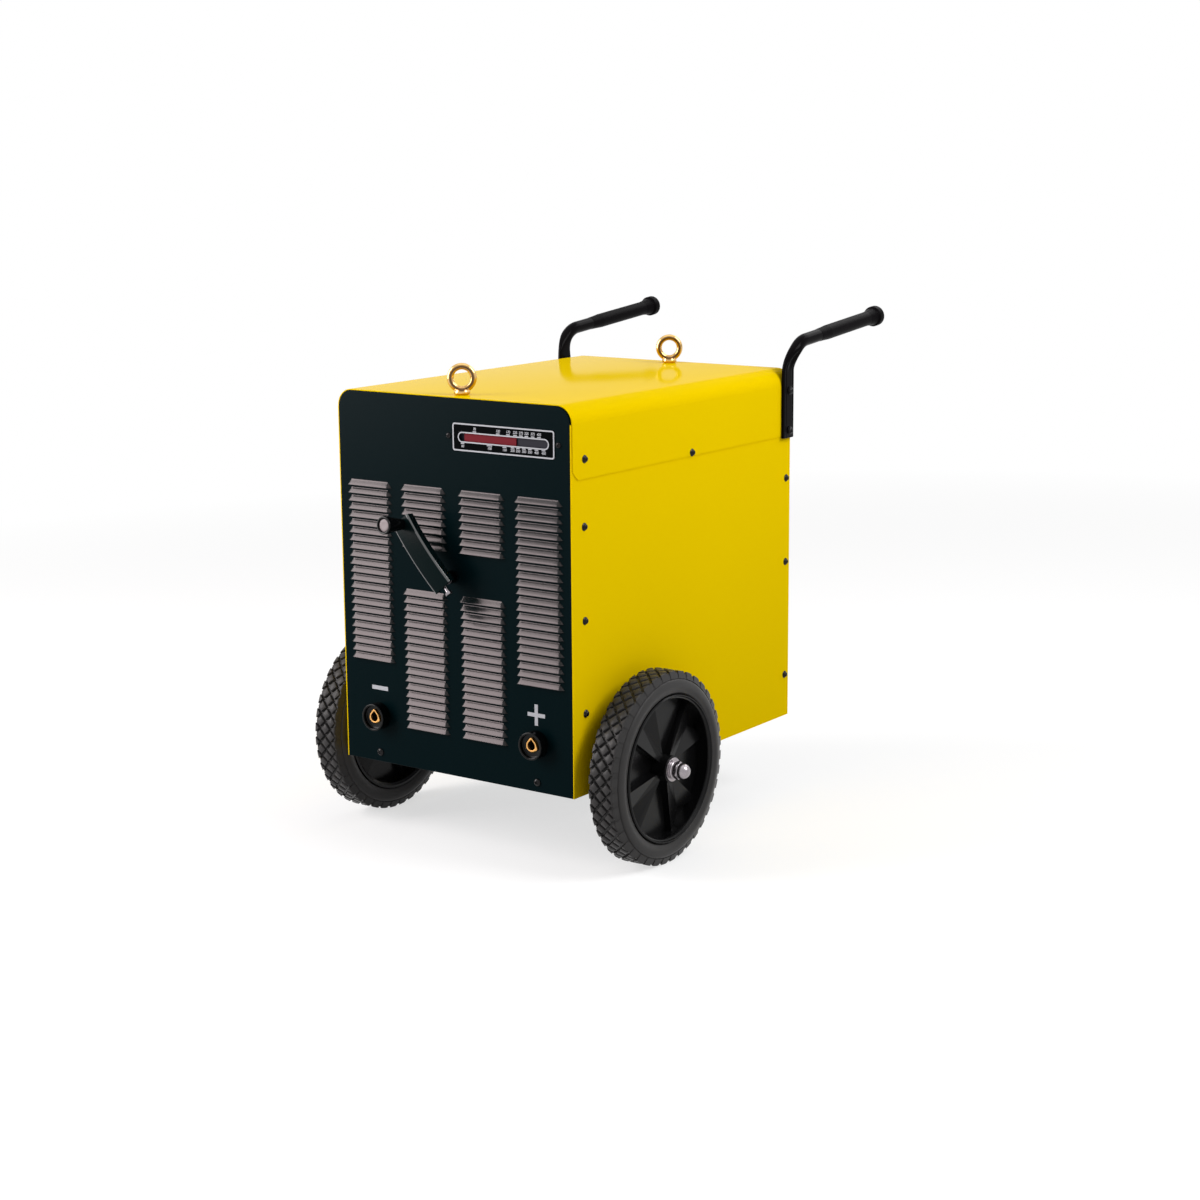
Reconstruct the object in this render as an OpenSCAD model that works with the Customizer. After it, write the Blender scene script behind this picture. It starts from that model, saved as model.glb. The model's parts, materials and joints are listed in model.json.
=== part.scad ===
// Wheeled manual arc-welding power source: a louvred sheet casing on two rubber wheels and a rear stand,
// with a hand crank that draws a magnetic shunt along a lead screw and moves a red strip behind a scale.
// Millimetres, +Z up, the louvred front faces -Y, the ground is Z = 0.

/* [Casing] */
// Width across the side panels
case_w = 450; // [430:5:480]
// Depth from the front panel to the rear panel
case_d = 616; // [600:4:640]
// Height of the casing alone
case_h = 588; // [580:2:600]
// Space between the ground and the casing
ground_gap = 126; // [120:2:140]
// Thickness of the casing sheet
sheet = 1.5; // [1:0.25:2]
// Bend radius of the cover's shoulders
shoulder_r = 27; // [20:1:32]
// Height of the cover's side flange
flange_h = 110; // [90:5:120]

/* [Louvres] */
// Distance between louvres
louvre_pitch = 12.5; // [12:0.5:14]
// Height of one louvre
louvre_h = 9; // [8:0.5:10]
// How far a louvre stands out
louvre_out = 5.5; // [4:0.5:6]
// Width of a louvre at its foot
louvre_w = 72; // [60:2:80]

/* [Wheels] */
// Outer diameter of a wheel
wheel_d = 300; // [290:2:310]
// Width of a tyre
tyre_w = 56; // [50:1:60]
// Space between casing and tyre
wheel_gap = 18.5; // [15:0.5:22]
// Distance of the axle behind the front panel
axle_y = 148; // [140:2:160]
// Radius of the rim's lip
rim_r = 121; // [115:1:125]
// Radius of the axle
axle_r = 10; // [8:1:12]
// Shoulder blocks round a tyre
shoulder_blocks = 50; // [40:2:56]
// Diamond blocks in a row round a tyre
tread_blocks = 40; // [32:2:44]

/* [Crank] */
// Height of the crank spindle above the casing's lower edge
crank_z = 314.5; // [310:0.5:320]
// Lean of the crank arm from upright
crank_lean = 40.2; // [0:0.1:90]
// Radius that the crank arm is bowed to
arm_bow = 450; // [400:10:600]
// Length of the knob in front of the arm
knob_l = 40; // [36:1:44]
// Advance of the lead screw for one turn
screw_pitch = 6; // [5:1:8]

/* [Handles] */
// Radius of the handle tube
tube_r = 10; // [9:0.5:11]
// Radius of the rubber grip
grip_r = 11.2; // [10.5:0.1:12.5]
// Rise of the handle towards its end
grip_rise = 5.5; // [3:0.5:8]
// Length of the straight part of a handle
grip_run = 243; // [220:1:260]

/* [Hidden] */
$fn = 64;
gap = 0.3;                       // clearance between pieces that only pass each other
running = 0.05;                  // radial clearance of a running fit

side_x = case_w / 2 - sheet;     // outer face of the side panels, under the cover's flange
inner_x = side_x - sheet;        // inner face of the side panels
panel_t = 2;                     // front and rear panels
flange_z = case_h - flange_h;    // lower edge of the cover's flange
floor_z = 3;                     // top of the base plate

wheel_x = case_w / 2 + wheel_gap;         // inner side of a tyre
wheel_r = wheel_d / 2;
axle_z = wheel_r - ground_gap;
hub_mid = wheel_x + tyre_w / 2;
nut_x = wheel_x + tyre_w + 4.5;           // outer face of the hub bearing's flange
nut_tip = nut_x + 27;

arm_mid = 48.5;                           // middle of the arm, along it from the spindle
arm_half = 62.5;                          // half of the arm's length
arm_w = 37;
arm_y = -42;                              // outermost face of the bowed arm
knob_s = 55.5;                            // knob from the middle of the arm, along it
knob_tilt = asin(knob_s / arm_bow);
knob_r = 14;

flat_w = 32;                              // flattened foot of a handle
flat_t = 6;
flat_y = case_d - 16.5;
bend_r = 50;
bend_turn = 90 - grip_rise;
bend_z = case_h - 4;
tube_x = case_w / 2 + 9;
bend_end_y = flat_y + bend_r * (1 - cos(bend_turn));
bend_end_z = bend_z + bend_r * sin(bend_turn);
cap_r = 16.5;

knob_front = arm_bow + arm_y - (arm_bow + knob_l) * cos(knob_tilt) - (knob_r - 1) * sin(knob_tilt);
grip_back = bend_end_y + grip_run * cos(grip_rise) + (cap_r - 3) * sin(grip_rise);
case_y = -(knob_front + grip_back) / 2;   // front panel's face in the part's own frame
case_z = ground_gap;

core_y0 = 290;                            // transformer core
core_y1 = 380;
limb_w = 60;
limb_gap = 130;                           // distance between limbs
core_bottom = 60;
core_top = 560;
yoke_h = 60;
coil_t = 28;
coil_gap = 30.5;                          // half of the space between lower and upper coils

rod_x0 = 130;                             // guide rods
rod_r = 7;
screw_r = 8;
journal_r = 6;
frame_y = 54;                             // front bearing plate
carriage_y = 145;                         // front face of the shunt carriage at rest
carriage_t = 15;
shunt_l = 120;

cord_z = 512;                             // plane of the indicator cord
pulley_r = 12;
cord_r = 1;
cord_left = -50;                          // pulley centres
cord_right = 178;
cord_front = 31;
cord_back = 268;
slide_x = 75;
strip_end = 122.4;
strip_l = 97.4;

socket_x = 154.6;
socket_z = 75;
socket_out = 18;

louvre_top = 449;
louvre_columns = [[-163, true], [-56, false], [56, false], [163, true]];     // true: a full outer column

screw_shank = 2.5;                        // radius of the panel screws
screw_front_y = 31.5;
side_screw_places = [
  [screw_front_y, 507.4], [screw_front_y, 407.2], [screw_front_y, 266.3], [screw_front_y, 125.2],
  [317, 483.4], [case_d - 12, 407], [case_d - 12, 265.6], [case_d - 12, 71.4]
];
handle_bolt_places = [[flat_y + 2.5, 553], [flat_y + 2.5, 487]];
scale_screw_places = [[-3.2, 529.5], [201.5, 529.5]];
foot_screw_x = 155;                       // screws at the foot of the front and rear panels
foot_screw_z = 15.5;

tyre_groove = 3.2;                        // depth of the tread
block_r = wheel_r - 14;                   // where the shoulder blocks end on the sidewall
spoke_count = 4;
rest_spoke = 32.5;                        // where a spoke stands when the wheel is at rest

stand_y = 520;
stand_x = 105;
stand_r = 12.5;

shelf_z = 540;                            // shelf over the indicator cord
pulley_places = [[cord_left, cord_front], [cord_right, cord_front], [cord_left, cord_back]];

sink_places = [-110, 0, 110];
sink_y = 444;

fan_z = 330;
fan_r = 122;

switch_x = 150;
switch_z = 520;
gland_x = 150;
gland_z = 70;
gland_bore = 9;

// ---- placing -------------------------------------------------------------------------------------

module in_case() {
  translate([0, case_y, case_z]) children();
}

module along_x(x0, x1) {                  // outline in Y and Z
  translate([x0, 0, 0]) rotate([90, 0, 90]) linear_extrude(x1 - x0) children();
}

module along_y(y0, y1) {                  // outline in X and Z
  translate([0, y1, 0]) rotate([90, 0, 0]) linear_extrude(y1 - y0) children();
}

module rod_x(x0, x1, y, z, r) {
  translate([x0, y, z]) rotate([0, 90, 0]) cylinder(r = r, h = x1 - x0);
}

module rod_y(y0, y1, x, z, r) {
  translate([x, y1, z]) rotate([90, 0, 0]) cylinder(r = r, h = y1 - y0);
}

module box(x0, x1, y0, y1, z0, z1) {
  translate([x0, y0, z0]) cube([x1 - x0, y1 - y0, z1 - z0]);
}

module both_sides() {
  children();
  mirror([1, 0, 0]) children();
}

module side_if(left) {                    // pieces are drawn for the right side
  if (left) mirror([1, 0, 0]) children();
  else children();
}

// ---- casing --------------------------------------------------------------------------------------

module tombstone(w, h, r) {               // outline with round upper corners
  translate([-w / 2, 0]) square([w, h - r]);
  translate([-w / 2 + r, 0]) square([w - 2 * r, h]);
  for (s = [-1, 1]) translate([s * (w / 2 - r), h - r]) circle(r);
}

module slot_outline(x0, x1, z, r) {
  translate([x0 + r, z - r]) square([x1 - x0 - 2 * r, 2 * r]);
  translate([x0 + r, z]) circle(r);
  translate([x1 - r, z]) circle(r);
}

function column_rows(outer) = outer ? [for (i = [0:22]) i] : [for (i = [0:30]) if (i < 8 || i > 12) i];

module each_louvre() {
  for (c = louvre_columns, i = column_rows(c[1])) {
    translate([c[0], 0, louvre_top - i * louvre_pitch]) children();
  }
}

module louvre_hood() {                    // pressed hood, open below, with slanted ends
  a = louvre_w / 2;
  o = [[a - 5, 0.4, 0.4], [a - 2.5, -louvre_out, -louvre_h], [a, 0.4, -louvre_h]];
  i = [[a - 6, 0.4, -1.3], [a - 3.6, 1.2 - louvre_out, -louvre_h], [a - 1.4, 0.4, -louvre_h]];
  right = concat(o, i);
  polyhedron(
    points = concat(right, [for (p = right) [-p[0], p[1], p[2]]]),
    faces = [
      [1, 7, 6, 0], [2, 1, 0], [7, 8, 6], [9, 10, 4, 3], [4, 5, 3], [11, 10, 9],
      [4, 10, 7, 1], [2, 5, 4, 1], [10, 11, 8, 7], [6, 9, 3, 0], [3, 5, 2, 0], [8, 11, 9, 6]
    ]
  );
}

module panel_outline() {
  tombstone(2 * (inner_x - gap / 2), case_h - sheet - gap, shoulder_r - sheet);
}

module front_panel() {
  in_case() color([0.03, 0.09, 0.09]) {
    difference() {
      union() {
        along_y(0, panel_t) difference() {
          panel_outline();
          for (c = louvre_columns, i = column_rows(c[1])) {
            translate([c[0] - 29, louvre_top - i * louvre_pitch - louvre_h]) square([58, louvre_h - 2]);
          }
        }
        along_y(panel_t, 16) difference() {           // turned-back edge
          panel_outline();
          translate([0, -1]) tombstone(2 * (inner_x - gap / 2 - sheet), case_h - 2 * sheet - gap + 1, 24);
          translate([-case_w, -1]) square([2 * case_w, 31]);
        }
        each_louvre() louvre_hood();
      }
      rod_y(-5, 5, 0, crank_z, journal_r + 1.5);
      for (s = [-1, 1]) rod_y(-5, 5, s * socket_x, socket_z, 16 + gap);
      along_y(-1, 4) slot_outline(15, 185, 529, 8);
      for (p = scale_screw_places) rod_y(-5, 5, p[0], p[1], screw_shank + gap);
      for (s = [-1, 1]) rod_y(-5, 5, s * foot_screw_x, foot_screw_z, screw_shank + gap);
    }
  }
}

module top_cover() {
  in_case() color([0.95, 0.78, 0.02]) difference() {
    along_y(0, case_d) difference() {
      tombstone(case_w, case_h, shoulder_r);
      tombstone(2 * side_x, case_h - sheet, shoulder_r - sheet);
      translate([-case_w, -1]) square([2 * case_w, flange_z + 1]);
    }
    along_x(-case_w, case_w) polygon([
      [-1, flange_z - 1], [15, flange_z - 1], [15, flange_z], [2, flange_z + 13], [2, case_h], [-1, case_h]
    ]);
    for (y = [30, case_d - 26]) translate([0, y, case_h - 5]) cylinder(r = 5 + gap, h = 10);
    for (p = side_screw_places) rod_x(-case_w, case_w, p[0], p[1], screw_shank + gap);
    for (p = handle_bolt_places) rod_x(-case_w, case_w, p[0], p[1], 3 + gap);
  }
}

module side_panel() {                     // right side
  difference() {
    union() {
      box(inner_x, side_x, 0, case_d, 0, case_h - shoulder_r - 1);
      box(inner_x - 20, inner_x, 20, case_d - 20, floor_z, floor_z + sheet);    // turned-in lower edge
    }
    for (p = side_screw_places) rod_x(0, case_w, p[0], p[1], screw_shank + gap);
    for (p = handle_bolt_places) rod_x(0, case_w, p[0], p[1], 3 + gap);
    rod_x(0, case_w, axle_y, axle_z, axle_r + gap);
  }
}

module side_panel_left() { in_case() color([0.86, 0.72, 0]) side_if(true) side_panel(); }
module side_panel_right() { in_case() color([0.86, 0.72, 0]) side_if(false) side_panel(); }

module fan_grille_outline() {             // arc slots between five ribs
  for (r = [22:20:112]) {
    difference() {
      circle(r + 12);
      circle(r);
      for (a = [0:72:359]) rotate(a + 18) translate([0, -5]) square([140, 10]);
    }
  }
}

module rear_panel() {
  in_case() color([0.03, 0.09, 0.09]) difference() {
    union() {
      along_y(case_d - panel_t, case_d) panel_outline();
      along_y(case_d - 7, case_d - panel_t) difference() {
        panel_outline();
        translate([0, -1]) tombstone(2 * (inner_x - gap / 2 - sheet), case_h - 2 * sheet - gap + 1, 24);
        translate([-case_w, -1]) square([2 * case_w, 31]);
      }
    }
    along_y(case_d - 5, case_d + 5) translate([0, fan_z]) fan_grille_outline();
    rod_y(case_d - 5, case_d + 5, switch_x, switch_z, 11);
    rod_y(case_d - 5, case_d + 5, gland_x, gland_z, 12.5 + gap);
    for (s = [-1, 1]) rod_y(case_d - 5, case_d + 5, s * foot_screw_x, foot_screw_z, screw_shank + gap);
  }
}

module base_plate() {
  y0 = panel_t;
  y1 = case_d - panel_t;
  in_case() color([0.35, 0.36, 0.37]) difference() {
    along_x(-inner_x + gap, inner_x - gap) polygon([
      [y0, 0], [y1, 0], [y1, 26], [y1 - 2, 26], [y1 - 2, floor_z], [y0 + 2, floor_z], [y0 + 2, 26], [y0, 26]
    ]);
    for (x = [-180:30:180], y = [60:30:120]) translate([x, y, 0]) cylinder(r = 8, h = 10);      // air holes
    for (s = [-1, 1]) rod_y(-1, case_d + 1, s * foot_screw_x, foot_screw_z, screw_shank + gap);
  }
}

module lifting_beam() {                   // inverted channel under the cover
  in_case() color([0.35, 0.36, 0.37]) difference() {
    along_y(18, case_d - 18) difference() {
      translate([-25, core_top]) square([50, case_h - sheet - core_top]);
      translate([-21, core_top - 1]) square([42, case_h - sheet - core_top - 4]);
    }
    for (y = [30, case_d - 26]) translate([0, y, case_h - 12]) cylinder(r = 5.05, h = 20);
  }
}

module eye_bolt() {                       // lifting eye, 45 across, seated at z = 0
  ring_z = 25.5;
  rotate([0, 0, 35]) translate([0, 0, ring_z]) rotate([90, 0, 0]) {
    rotate_extrude() translate([17.5, 0]) circle(5, $fn = 32);
  }
  difference() {
    union() {
      cylinder(r = 12.5, h = 3);
      translate([0, 0, 2]) cylinder(r = 9.6, h = 9);
    }
    rotate([0, 0, 35]) translate([0, 0, ring_z]) rotate([90, 0, 0]) cylinder(r = 16, h = 40, center = true);
  }
  translate([0, 0, -9]) cylinder(r = 5, h = 9.5);
}

module lifting_eye_bolts() {
  in_case() color([0.85, 0.68, 0.35]) for (y = [30, case_d - 26]) translate([0, y, case_h]) eye_bolt();
}

module flange_screw() {                   // washer and dome in one, towards +X
  flange_r = 6.2;
  dome_r = 4.5;
  dome_h = 4.9;
  recess_r = 1.5;
  rotate([0, 90, 0]) rotate_extrude() polygon([
    [0, -8], [screw_shank, -8], [screw_shank, 0], [flange_r, 0], [flange_r, 0.6], [dome_r, 1.8],
    [dome_r - 0.3, dome_h - 1.7], [dome_r - 1.7, dome_h - 0.3], [recess_r, dome_h], [recess_r, 3], [0, 3]
  ]);
}

module round_screw(head_r, head_h, shank_l) {      // head towards +X, seat at x = 0
  rotate([0, 90, 0]) rotate_extrude() polygon([
    [0, -shank_l], [screw_shank, -shank_l], [screw_shank, 0], [head_r, 0], [head_r, head_h * 0.45],
    [head_r * 0.62, head_h], [head_r * 0.3, head_h], [head_r * 0.3, head_h * 0.4], [0, head_h * 0.4]
  ]);
}

module panel_screws() {
  in_case() color([0.06, 0.06, 0.06]) {
    both_sides() for (p = side_screw_places) {
      translate([p[1] > flange_z ? case_w / 2 : side_x, p[0], p[1]]) flange_screw();
    }
    for (p = scale_screw_places) translate([p[0], 0, p[1]]) rotate([0, 0, -90]) round_screw(4.5, 3, panel_t);
    for (s = [-1, 1]) {
      translate([s * foot_screw_x, 0, foot_screw_z]) rotate([0, 0, -90]) round_screw(4.5, 3, 6);
      translate([s * foot_screw_x, case_d, foot_screw_z]) rotate([0, 0, 90]) round_screw(4.5, 3, 6);
    }
  }
}

// ---- handles -------------------------------------------------------------------------------------

module handle_bolts() {
  in_case() color([0.5, 0.5, 0.48]) both_sides() for (p = handle_bolt_places) {
    translate([case_w / 2 + flat_t, p[0], p[1]]) {
      rotate([0, 90, 0]) rotate_extrude() polygon([
        [0, -16], [3, -16], [3, 0], [6.5, 0], [6.5, 1.5], [5, 4.2], [2.2, 5], [2.2, 2], [0, 2]
      ]);
    }
    translate([inner_x - 5, p[0], p[1]]) rotate([0, 90, 0]) difference() {       // nut inside
      cylinder(r = 5.8, h = 5, $fn = 6);
      translate([0, 0, -1]) cylinder(r = 3.02, h = 7);
    }
  }
}

module tube_section(turn, w, t, x) {      // thin slice of the tube where it turns and flattens
  translate([x, flat_y + bend_r * (1 - cos(turn)), bend_z + bend_r * sin(turn)]) rotate([-turn, 0, 0]) {
    linear_extrude(0.2) {
      r = t / 2;
      for (s = [-1, 1]) translate([0, s * (w / 2 - r)]) circle(r, $fn = 32);
      translate([-r, r - w / 2]) square([t, max(w - t, 0.01)]);
    }
  }
}

module handle_tube() {                    // right side
  foot_x = case_w / 2 + flat_t / 2;
  foot_z = flange_z - 3;
  foot_h = bend_z - foot_z + 0.1;
  round_turn = 42;                        // from here on the tube is round
  inside = 2 * tube_r - 1.2;
  sections = [[0, flat_w, flat_t, foot_x], [16, 29, 10, foot_x + 2], [32, 24, 15, foot_x + 4.6],
              [round_turn + 8, inside, inside, tube_x]];
  difference() {
    union() {
      translate([case_w / 2, flat_y - flat_w / 2 + flat_t / 2, foot_z]) cube([flat_t, flat_w - flat_t, foot_h]);
      for (s = [-1, 1]) translate([foot_x, flat_y + s * (flat_w - flat_t) / 2, foot_z]) {
        cylinder(r = flat_t / 2, h = foot_h);
      }
      for (i = [0:2]) hull() {
        tube_section(sections[i][0], sections[i][1], sections[i][2], sections[i][3]);
        tube_section(sections[i + 1][0], sections[i + 1][1], sections[i + 1][2], sections[i + 1][3]);
      }
      translate([tube_x, bend_end_y, bend_end_z]) rotate([-bend_turn, 0, 0]) {     // straight part and bend
        cylinder(r = tube_r, h = grip_run - 4);
        translate([0, bend_r, 0]) rotate([90, 0, 90]) rotate([0, 0, 180]) {
          rotate_extrude(angle = bend_turn - round_turn) translate([bend_r, 0]) circle(tube_r);
        }
      }
    }
    for (p = handle_bolt_places) rod_x(0, case_w, p[0], p[1], 3 + gap);
  }
}

module grip() {                           // rubber sleeve with a flared end
  translate([tube_x, bend_end_y, bend_end_z]) rotate([-bend_turn, 0, 0]) rotate_extrude() polygon([
    [tube_r + 0.02, 46], [grip_r - 0.6, 46], [grip_r, 48], [grip_r, grip_run - 34],
    [grip_r + 1, grip_run - 28], [cap_r - 0.8, grip_run - 16], [cap_r, grip_run - 15],
    [cap_r, grip_run - 3], [cap_r - 3, grip_run], [0, grip_run],
    [0, grip_run - 3.9], [tube_r + 0.02, grip_run - 3.9]
  ]);
}

module handle_tube_left() { in_case() color([0.1, 0.1, 0.1]) side_if(true) handle_tube(); }
module handle_tube_right() { in_case() color([0.1, 0.1, 0.1]) side_if(false) handle_tube(); }
module grip_left() { in_case() color([0.12, 0.12, 0.12]) side_if(true) grip(); }
module grip_right() { in_case() color([0.12, 0.12, 0.12]) side_if(false) grip(); }

// ---- wheels and stand ----------------------------------------------------------------------------

module on_axle() {                        // local +Z along the axle, away from the casing
  translate([0, axle_y, axle_z]) rotate([0, 90, 0]) children();
}

module axle() {
  in_case() color("silver") on_axle() {
    translate([0, 0, -nut_tip + 8]) cylinder(r = axle_r, h = 2 * nut_tip - 16);
  }
}

module axle_brackets() {
  in_case() color([0.35, 0.36, 0.37]) both_sides() difference() {
    union() {
      box(186, 194, axle_y - 22, axle_y + 22, floor_z, axle_z);
      rod_x(186, 194, axle_y, axle_z, 22);
      box(170, 194, axle_y - 22, axle_y + 22, floor_z, floor_z + 4);
    }
    rod_x(180, 200, axle_y, axle_z, axle_r + 0.02);
    box(160, 200, axle_y - 40, axle_y + 40, -20, floor_z);
  }
}

module axle_nuts() {                      // dome nuts and the spacer tubes beside the casing
  in_case() color("silver") both_sides() on_axle() {
    translate([0, 0, nut_x + gap]) difference() {
      union() {
        cylinder(r = 13, h = 3);
        translate([0, 0, 3]) intersection() {
          cylinder(r = 15, h = 10, $fn = 6);
          cylinder(r1 = 12, r2 = 16, h = 4);
        }
        translate([0, 0, 6.9]) cylinder(r = 15, h = 6, $fn = 6);
        translate([0, 0, 12.8]) intersection() {
          cylinder(r = 11.5, h = 20);
          translate([0, 0, 2.4]) sphere(11.5);
        }
      }
      translate([0, 0, -1]) cylinder(r = axle_r + 0.02, h = nut_tip - 7 - nut_x);
    }
    translate([0, 0, side_x + gap]) difference() {
      cylinder(r = 14, h = wheel_gap + sheet + 2 - 2 * gap);
      translate([0, 0, -1]) cylinder(r = axle_r + 0.02, h = 30);
    }
  }
}

module tyre_shell() {                     // carcass up to the floor of the tread
  h = tyre_w / 2;
  floor_r = wheel_r - tyre_groove;
  side = [[rim_r - 6, h - 5], [rim_r - 3, h - 1], [rim_r, h - 0.6], [rim_r + 8, h], [block_r - 0.5, h - 0.4],
          [block_r + 1.5, h - tyre_groove], [floor_r - 2, h - tyre_groove - 1], [floor_r, h - tyre_groove - 4]];
  rotate_extrude($fn = 96) polygon(concat([for (p = side) [p[0], -p[1]]], [for (i = [7:-1:0]) side[i]]));
}

module shoulder_ring() {                  // blocks round the tyre's edge that run on down its side
  step = 360 / shoulder_blocks;
  low = block_r + 0.5;
  high = wheel_r + 1;
  tooth = [[0, low], [0.001, high], [0.75, high], [0.751, low]];
  intersection() {
    linear_extrude(8.6) polygon([
      for (i = [0:shoulder_blocks - 1], k = tooth) k[1] * [cos((i + k[0]) * step), sin((i + k[0]) * step)]
    ]);
    rotate_extrude($fn = 96) polygon([
      [block_r, 0], [wheel_r, 0], [wheel_r, 7.4], [wheel_r - 1.2, 8.6], [block_r, 8.6]
    ]);
  }
}

module tread_row(x, start, size) {        // one row of diamond blocks
  step = 360 / tread_blocks;
  b = (PI * wheel_r / tread_blocks - 1.9) * size;
  a = 9.1 * size;
  for (i = [0:tread_blocks - 1]) rotate([0, 0, (i + start) * step]) {
    translate([wheel_r - tyre_groove - 1.5, 0, x]) rotate([0, 90, 0]) linear_extrude(tyre_groove + 1.35) {
      polygon([[-a, 0], [0, -b], [a, 0], [0, b]]);
    }
  }
}

module half_row(x, s) {                   // half diamonds that point to the tread's middle
  step = 360 / tread_blocks;
  b = 0.9 * (PI * wheel_r / tread_blocks - 1.9);
  for (i = [0:tread_blocks - 1]) rotate([0, 0, (i + 0.5) * step]) {
    translate([wheel_r - tyre_groove - 1.5, 0, x]) rotate([0, 90, 0]) linear_extrude(tyre_groove + 1.35) {
      polygon([[0, -b], [s * 7.4, 0], [0, b]]);
    }
  }
}

module tyre() {
  on_axle() translate([0, 0, hub_mid]) {
    tyre_shell();
    for (s = [-1, 1]) scale([1, 1, s]) translate([0, 0, tyre_w / 2 - 9]) shoulder_ring();
    tread_row(-10.3, 0, 1);
    tread_row(10.3, 0, 1);
    tread_row(0, 0.5, 1);
    for (s = [-1, 1]) half_row(s * (tyre_w / 2 - 8.8), s);
  }
}

module rim_spoke() {                      // V-topped wedge, notched where it nears the drum
  c = (rim_r + 4) * cos(20.5);
  w = (rim_r + 4) * sin(20.5);
  low = [[19, -8, 0], [c, -w - 4, 0], [92, 0, 0], [c, w + 4, 0], [19, 8, 0]];
  high = [[19, -6, 15], [c, -w, 10], [90, 0, 5], [c, w, 10], [19, 6, 15]];
  ends = [[0, 1, 2, 3, 4], [5, 7, 6], [5, 9, 7], [9, 8, 7]];
  walls = [for (i = [0:4], k = [0, 1]) let (j = (i + 1) % 5) k == 0 ? [i, i + 5, j + 5] : [i, j + 5, j]];
  intersection() {
    polyhedron(points = concat(low, high), faces = concat(ends, walls));
    translate([0, 0, -1]) cylinder(r = rim_r - 11.6, h = 40);
  }
}

module rim() {
  h = tyre_w / 2;
  on_axle() translate([0, 0, hub_mid]) {
    rotate_extrude($fn = 96) polygon([             // drum with a double lip at each edge
      [rim_r - 14, -h + 4], [rim_r - 10, -h + 1], [rim_r - 6.2, -h + 1], [rim_r - 6.2, h - 1.5],
      [rim_r - 7.5, h + 0.5], [rim_r - 9, h + 0.5], [rim_r - 10, h - 2], [rim_r - 12, h - 3],
      [rim_r - 13, h - 6], [rim_r - 12.2, h - 9], [rim_r - 12.2, -6], [rim_r - 11, -h + 8]
    ]);
    for (s = [0, 1], i = [0:spoke_count - 1]) {
      mirror([0, 0, s]) rotate([0, 0, i * 90 + rest_spoke]) rim_spoke();
    }
    difference() {
      translate([0, 0, -h + 2]) cylinder(r = 21, h = 2 * h - 1);
      translate([0, 0, -h]) cylinder(r = 14 + 0.02, h = 4 * h);
    }
    difference() {                                   // web in the middle of the drum
      translate([0, 0, -2]) cylinder(r = rim_r - 12, h = 4);
      translate([0, 0, -h]) cylinder(r = 20, h = 3 * h);
    }
  }
}

module wheel_bearing() {                  // flanged sleeve that turns on the axle
  h = tyre_w / 2;
  on_axle() translate([0, 0, hub_mid]) difference() {
    union() {
      translate([0, 0, -h + 2]) cylinder(r = 14, h = 2 * h + 2.5);
      translate([0, 0, h + 1 + 0.02]) cylinder(r = 18.5, h = 2);
    }
    translate([0, 0, -h]) cylinder(r = axle_r + running, h = 4 * h);
  }
}

module tyre_left() { in_case() color([0.16, 0.16, 0.16]) side_if(true) tyre(); }
module tyre_right() { in_case() color([0.16, 0.16, 0.16]) side_if(false) tyre(); }
module rim_left() { in_case() color([0.08, 0.08, 0.08]) side_if(true) rim(); }
module rim_right() { in_case() color([0.08, 0.08, 0.08]) side_if(false) rim(); }
module wheel_bearing_left() { in_case() color("silver") side_if(true) wheel_bearing(); }
module wheel_bearing_right() { in_case() color("silver") side_if(false) wheel_bearing(); }

module rear_stand() {                     // bent tube under the casing, with two foot plates
  bar_z = -ground_gap + stand_r + 4;
  r = 40;
  in_case() color([0.1, 0.1, 0.1]) {
    both_sides() {
      translate([stand_x, stand_y, bar_z + r]) cylinder(r = stand_r, h = -bar_z - r - 4);
      translate([stand_x - 30, stand_y - 25, -4]) cube([60, 50, 4]);
      translate([stand_x - r, stand_y, bar_z + r]) rotate([90, 0, 0]) rotate([0, 0, -90]) {
        rotate_extrude(angle = 90) translate([r, 0]) circle(stand_r);
      }
    }
    rod_x(-stand_x + r, stand_x - r, stand_y, bar_z, stand_r);
  }
}

module stand_feet() {                     // rubber blocks round the bar, flat below
  bar_z = -ground_gap + stand_r + 4;
  in_case() color([0.12, 0.12, 0.12]) both_sides() difference() {
    along_x(30, 60) translate([stand_y, bar_z]) {
      circle(stand_r + 4);
      translate([-stand_r - 4, -stand_r - 4]) square([2 * stand_r + 8, stand_r + 4]);
    }
    rod_x(20, 70, stand_y, bar_z, stand_r + 0.02);
  }
}

// ---- crank and moving shunt ----------------------------------------------------------------------

module on_spindle() {                     // local X along the arm, local Z out of the panel
  translate([0, 0, crank_z]) rotate([90, 0, 0]) rotate([0, 0, 90 + crank_lean]) children();
}

module at_knob() {
  on_spindle() translate([arm_mid, 0, -arm_y - arm_bow]) rotate([0, knob_tilt, 0]) {
    translate([0, 0, arm_bow]) children();
  }
}

module at_clamp() {                       // radial screw at the arm's open end
  on_spindle() translate([0, 0, 31]) rotate([0, -90, 0]) children();
}

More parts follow.
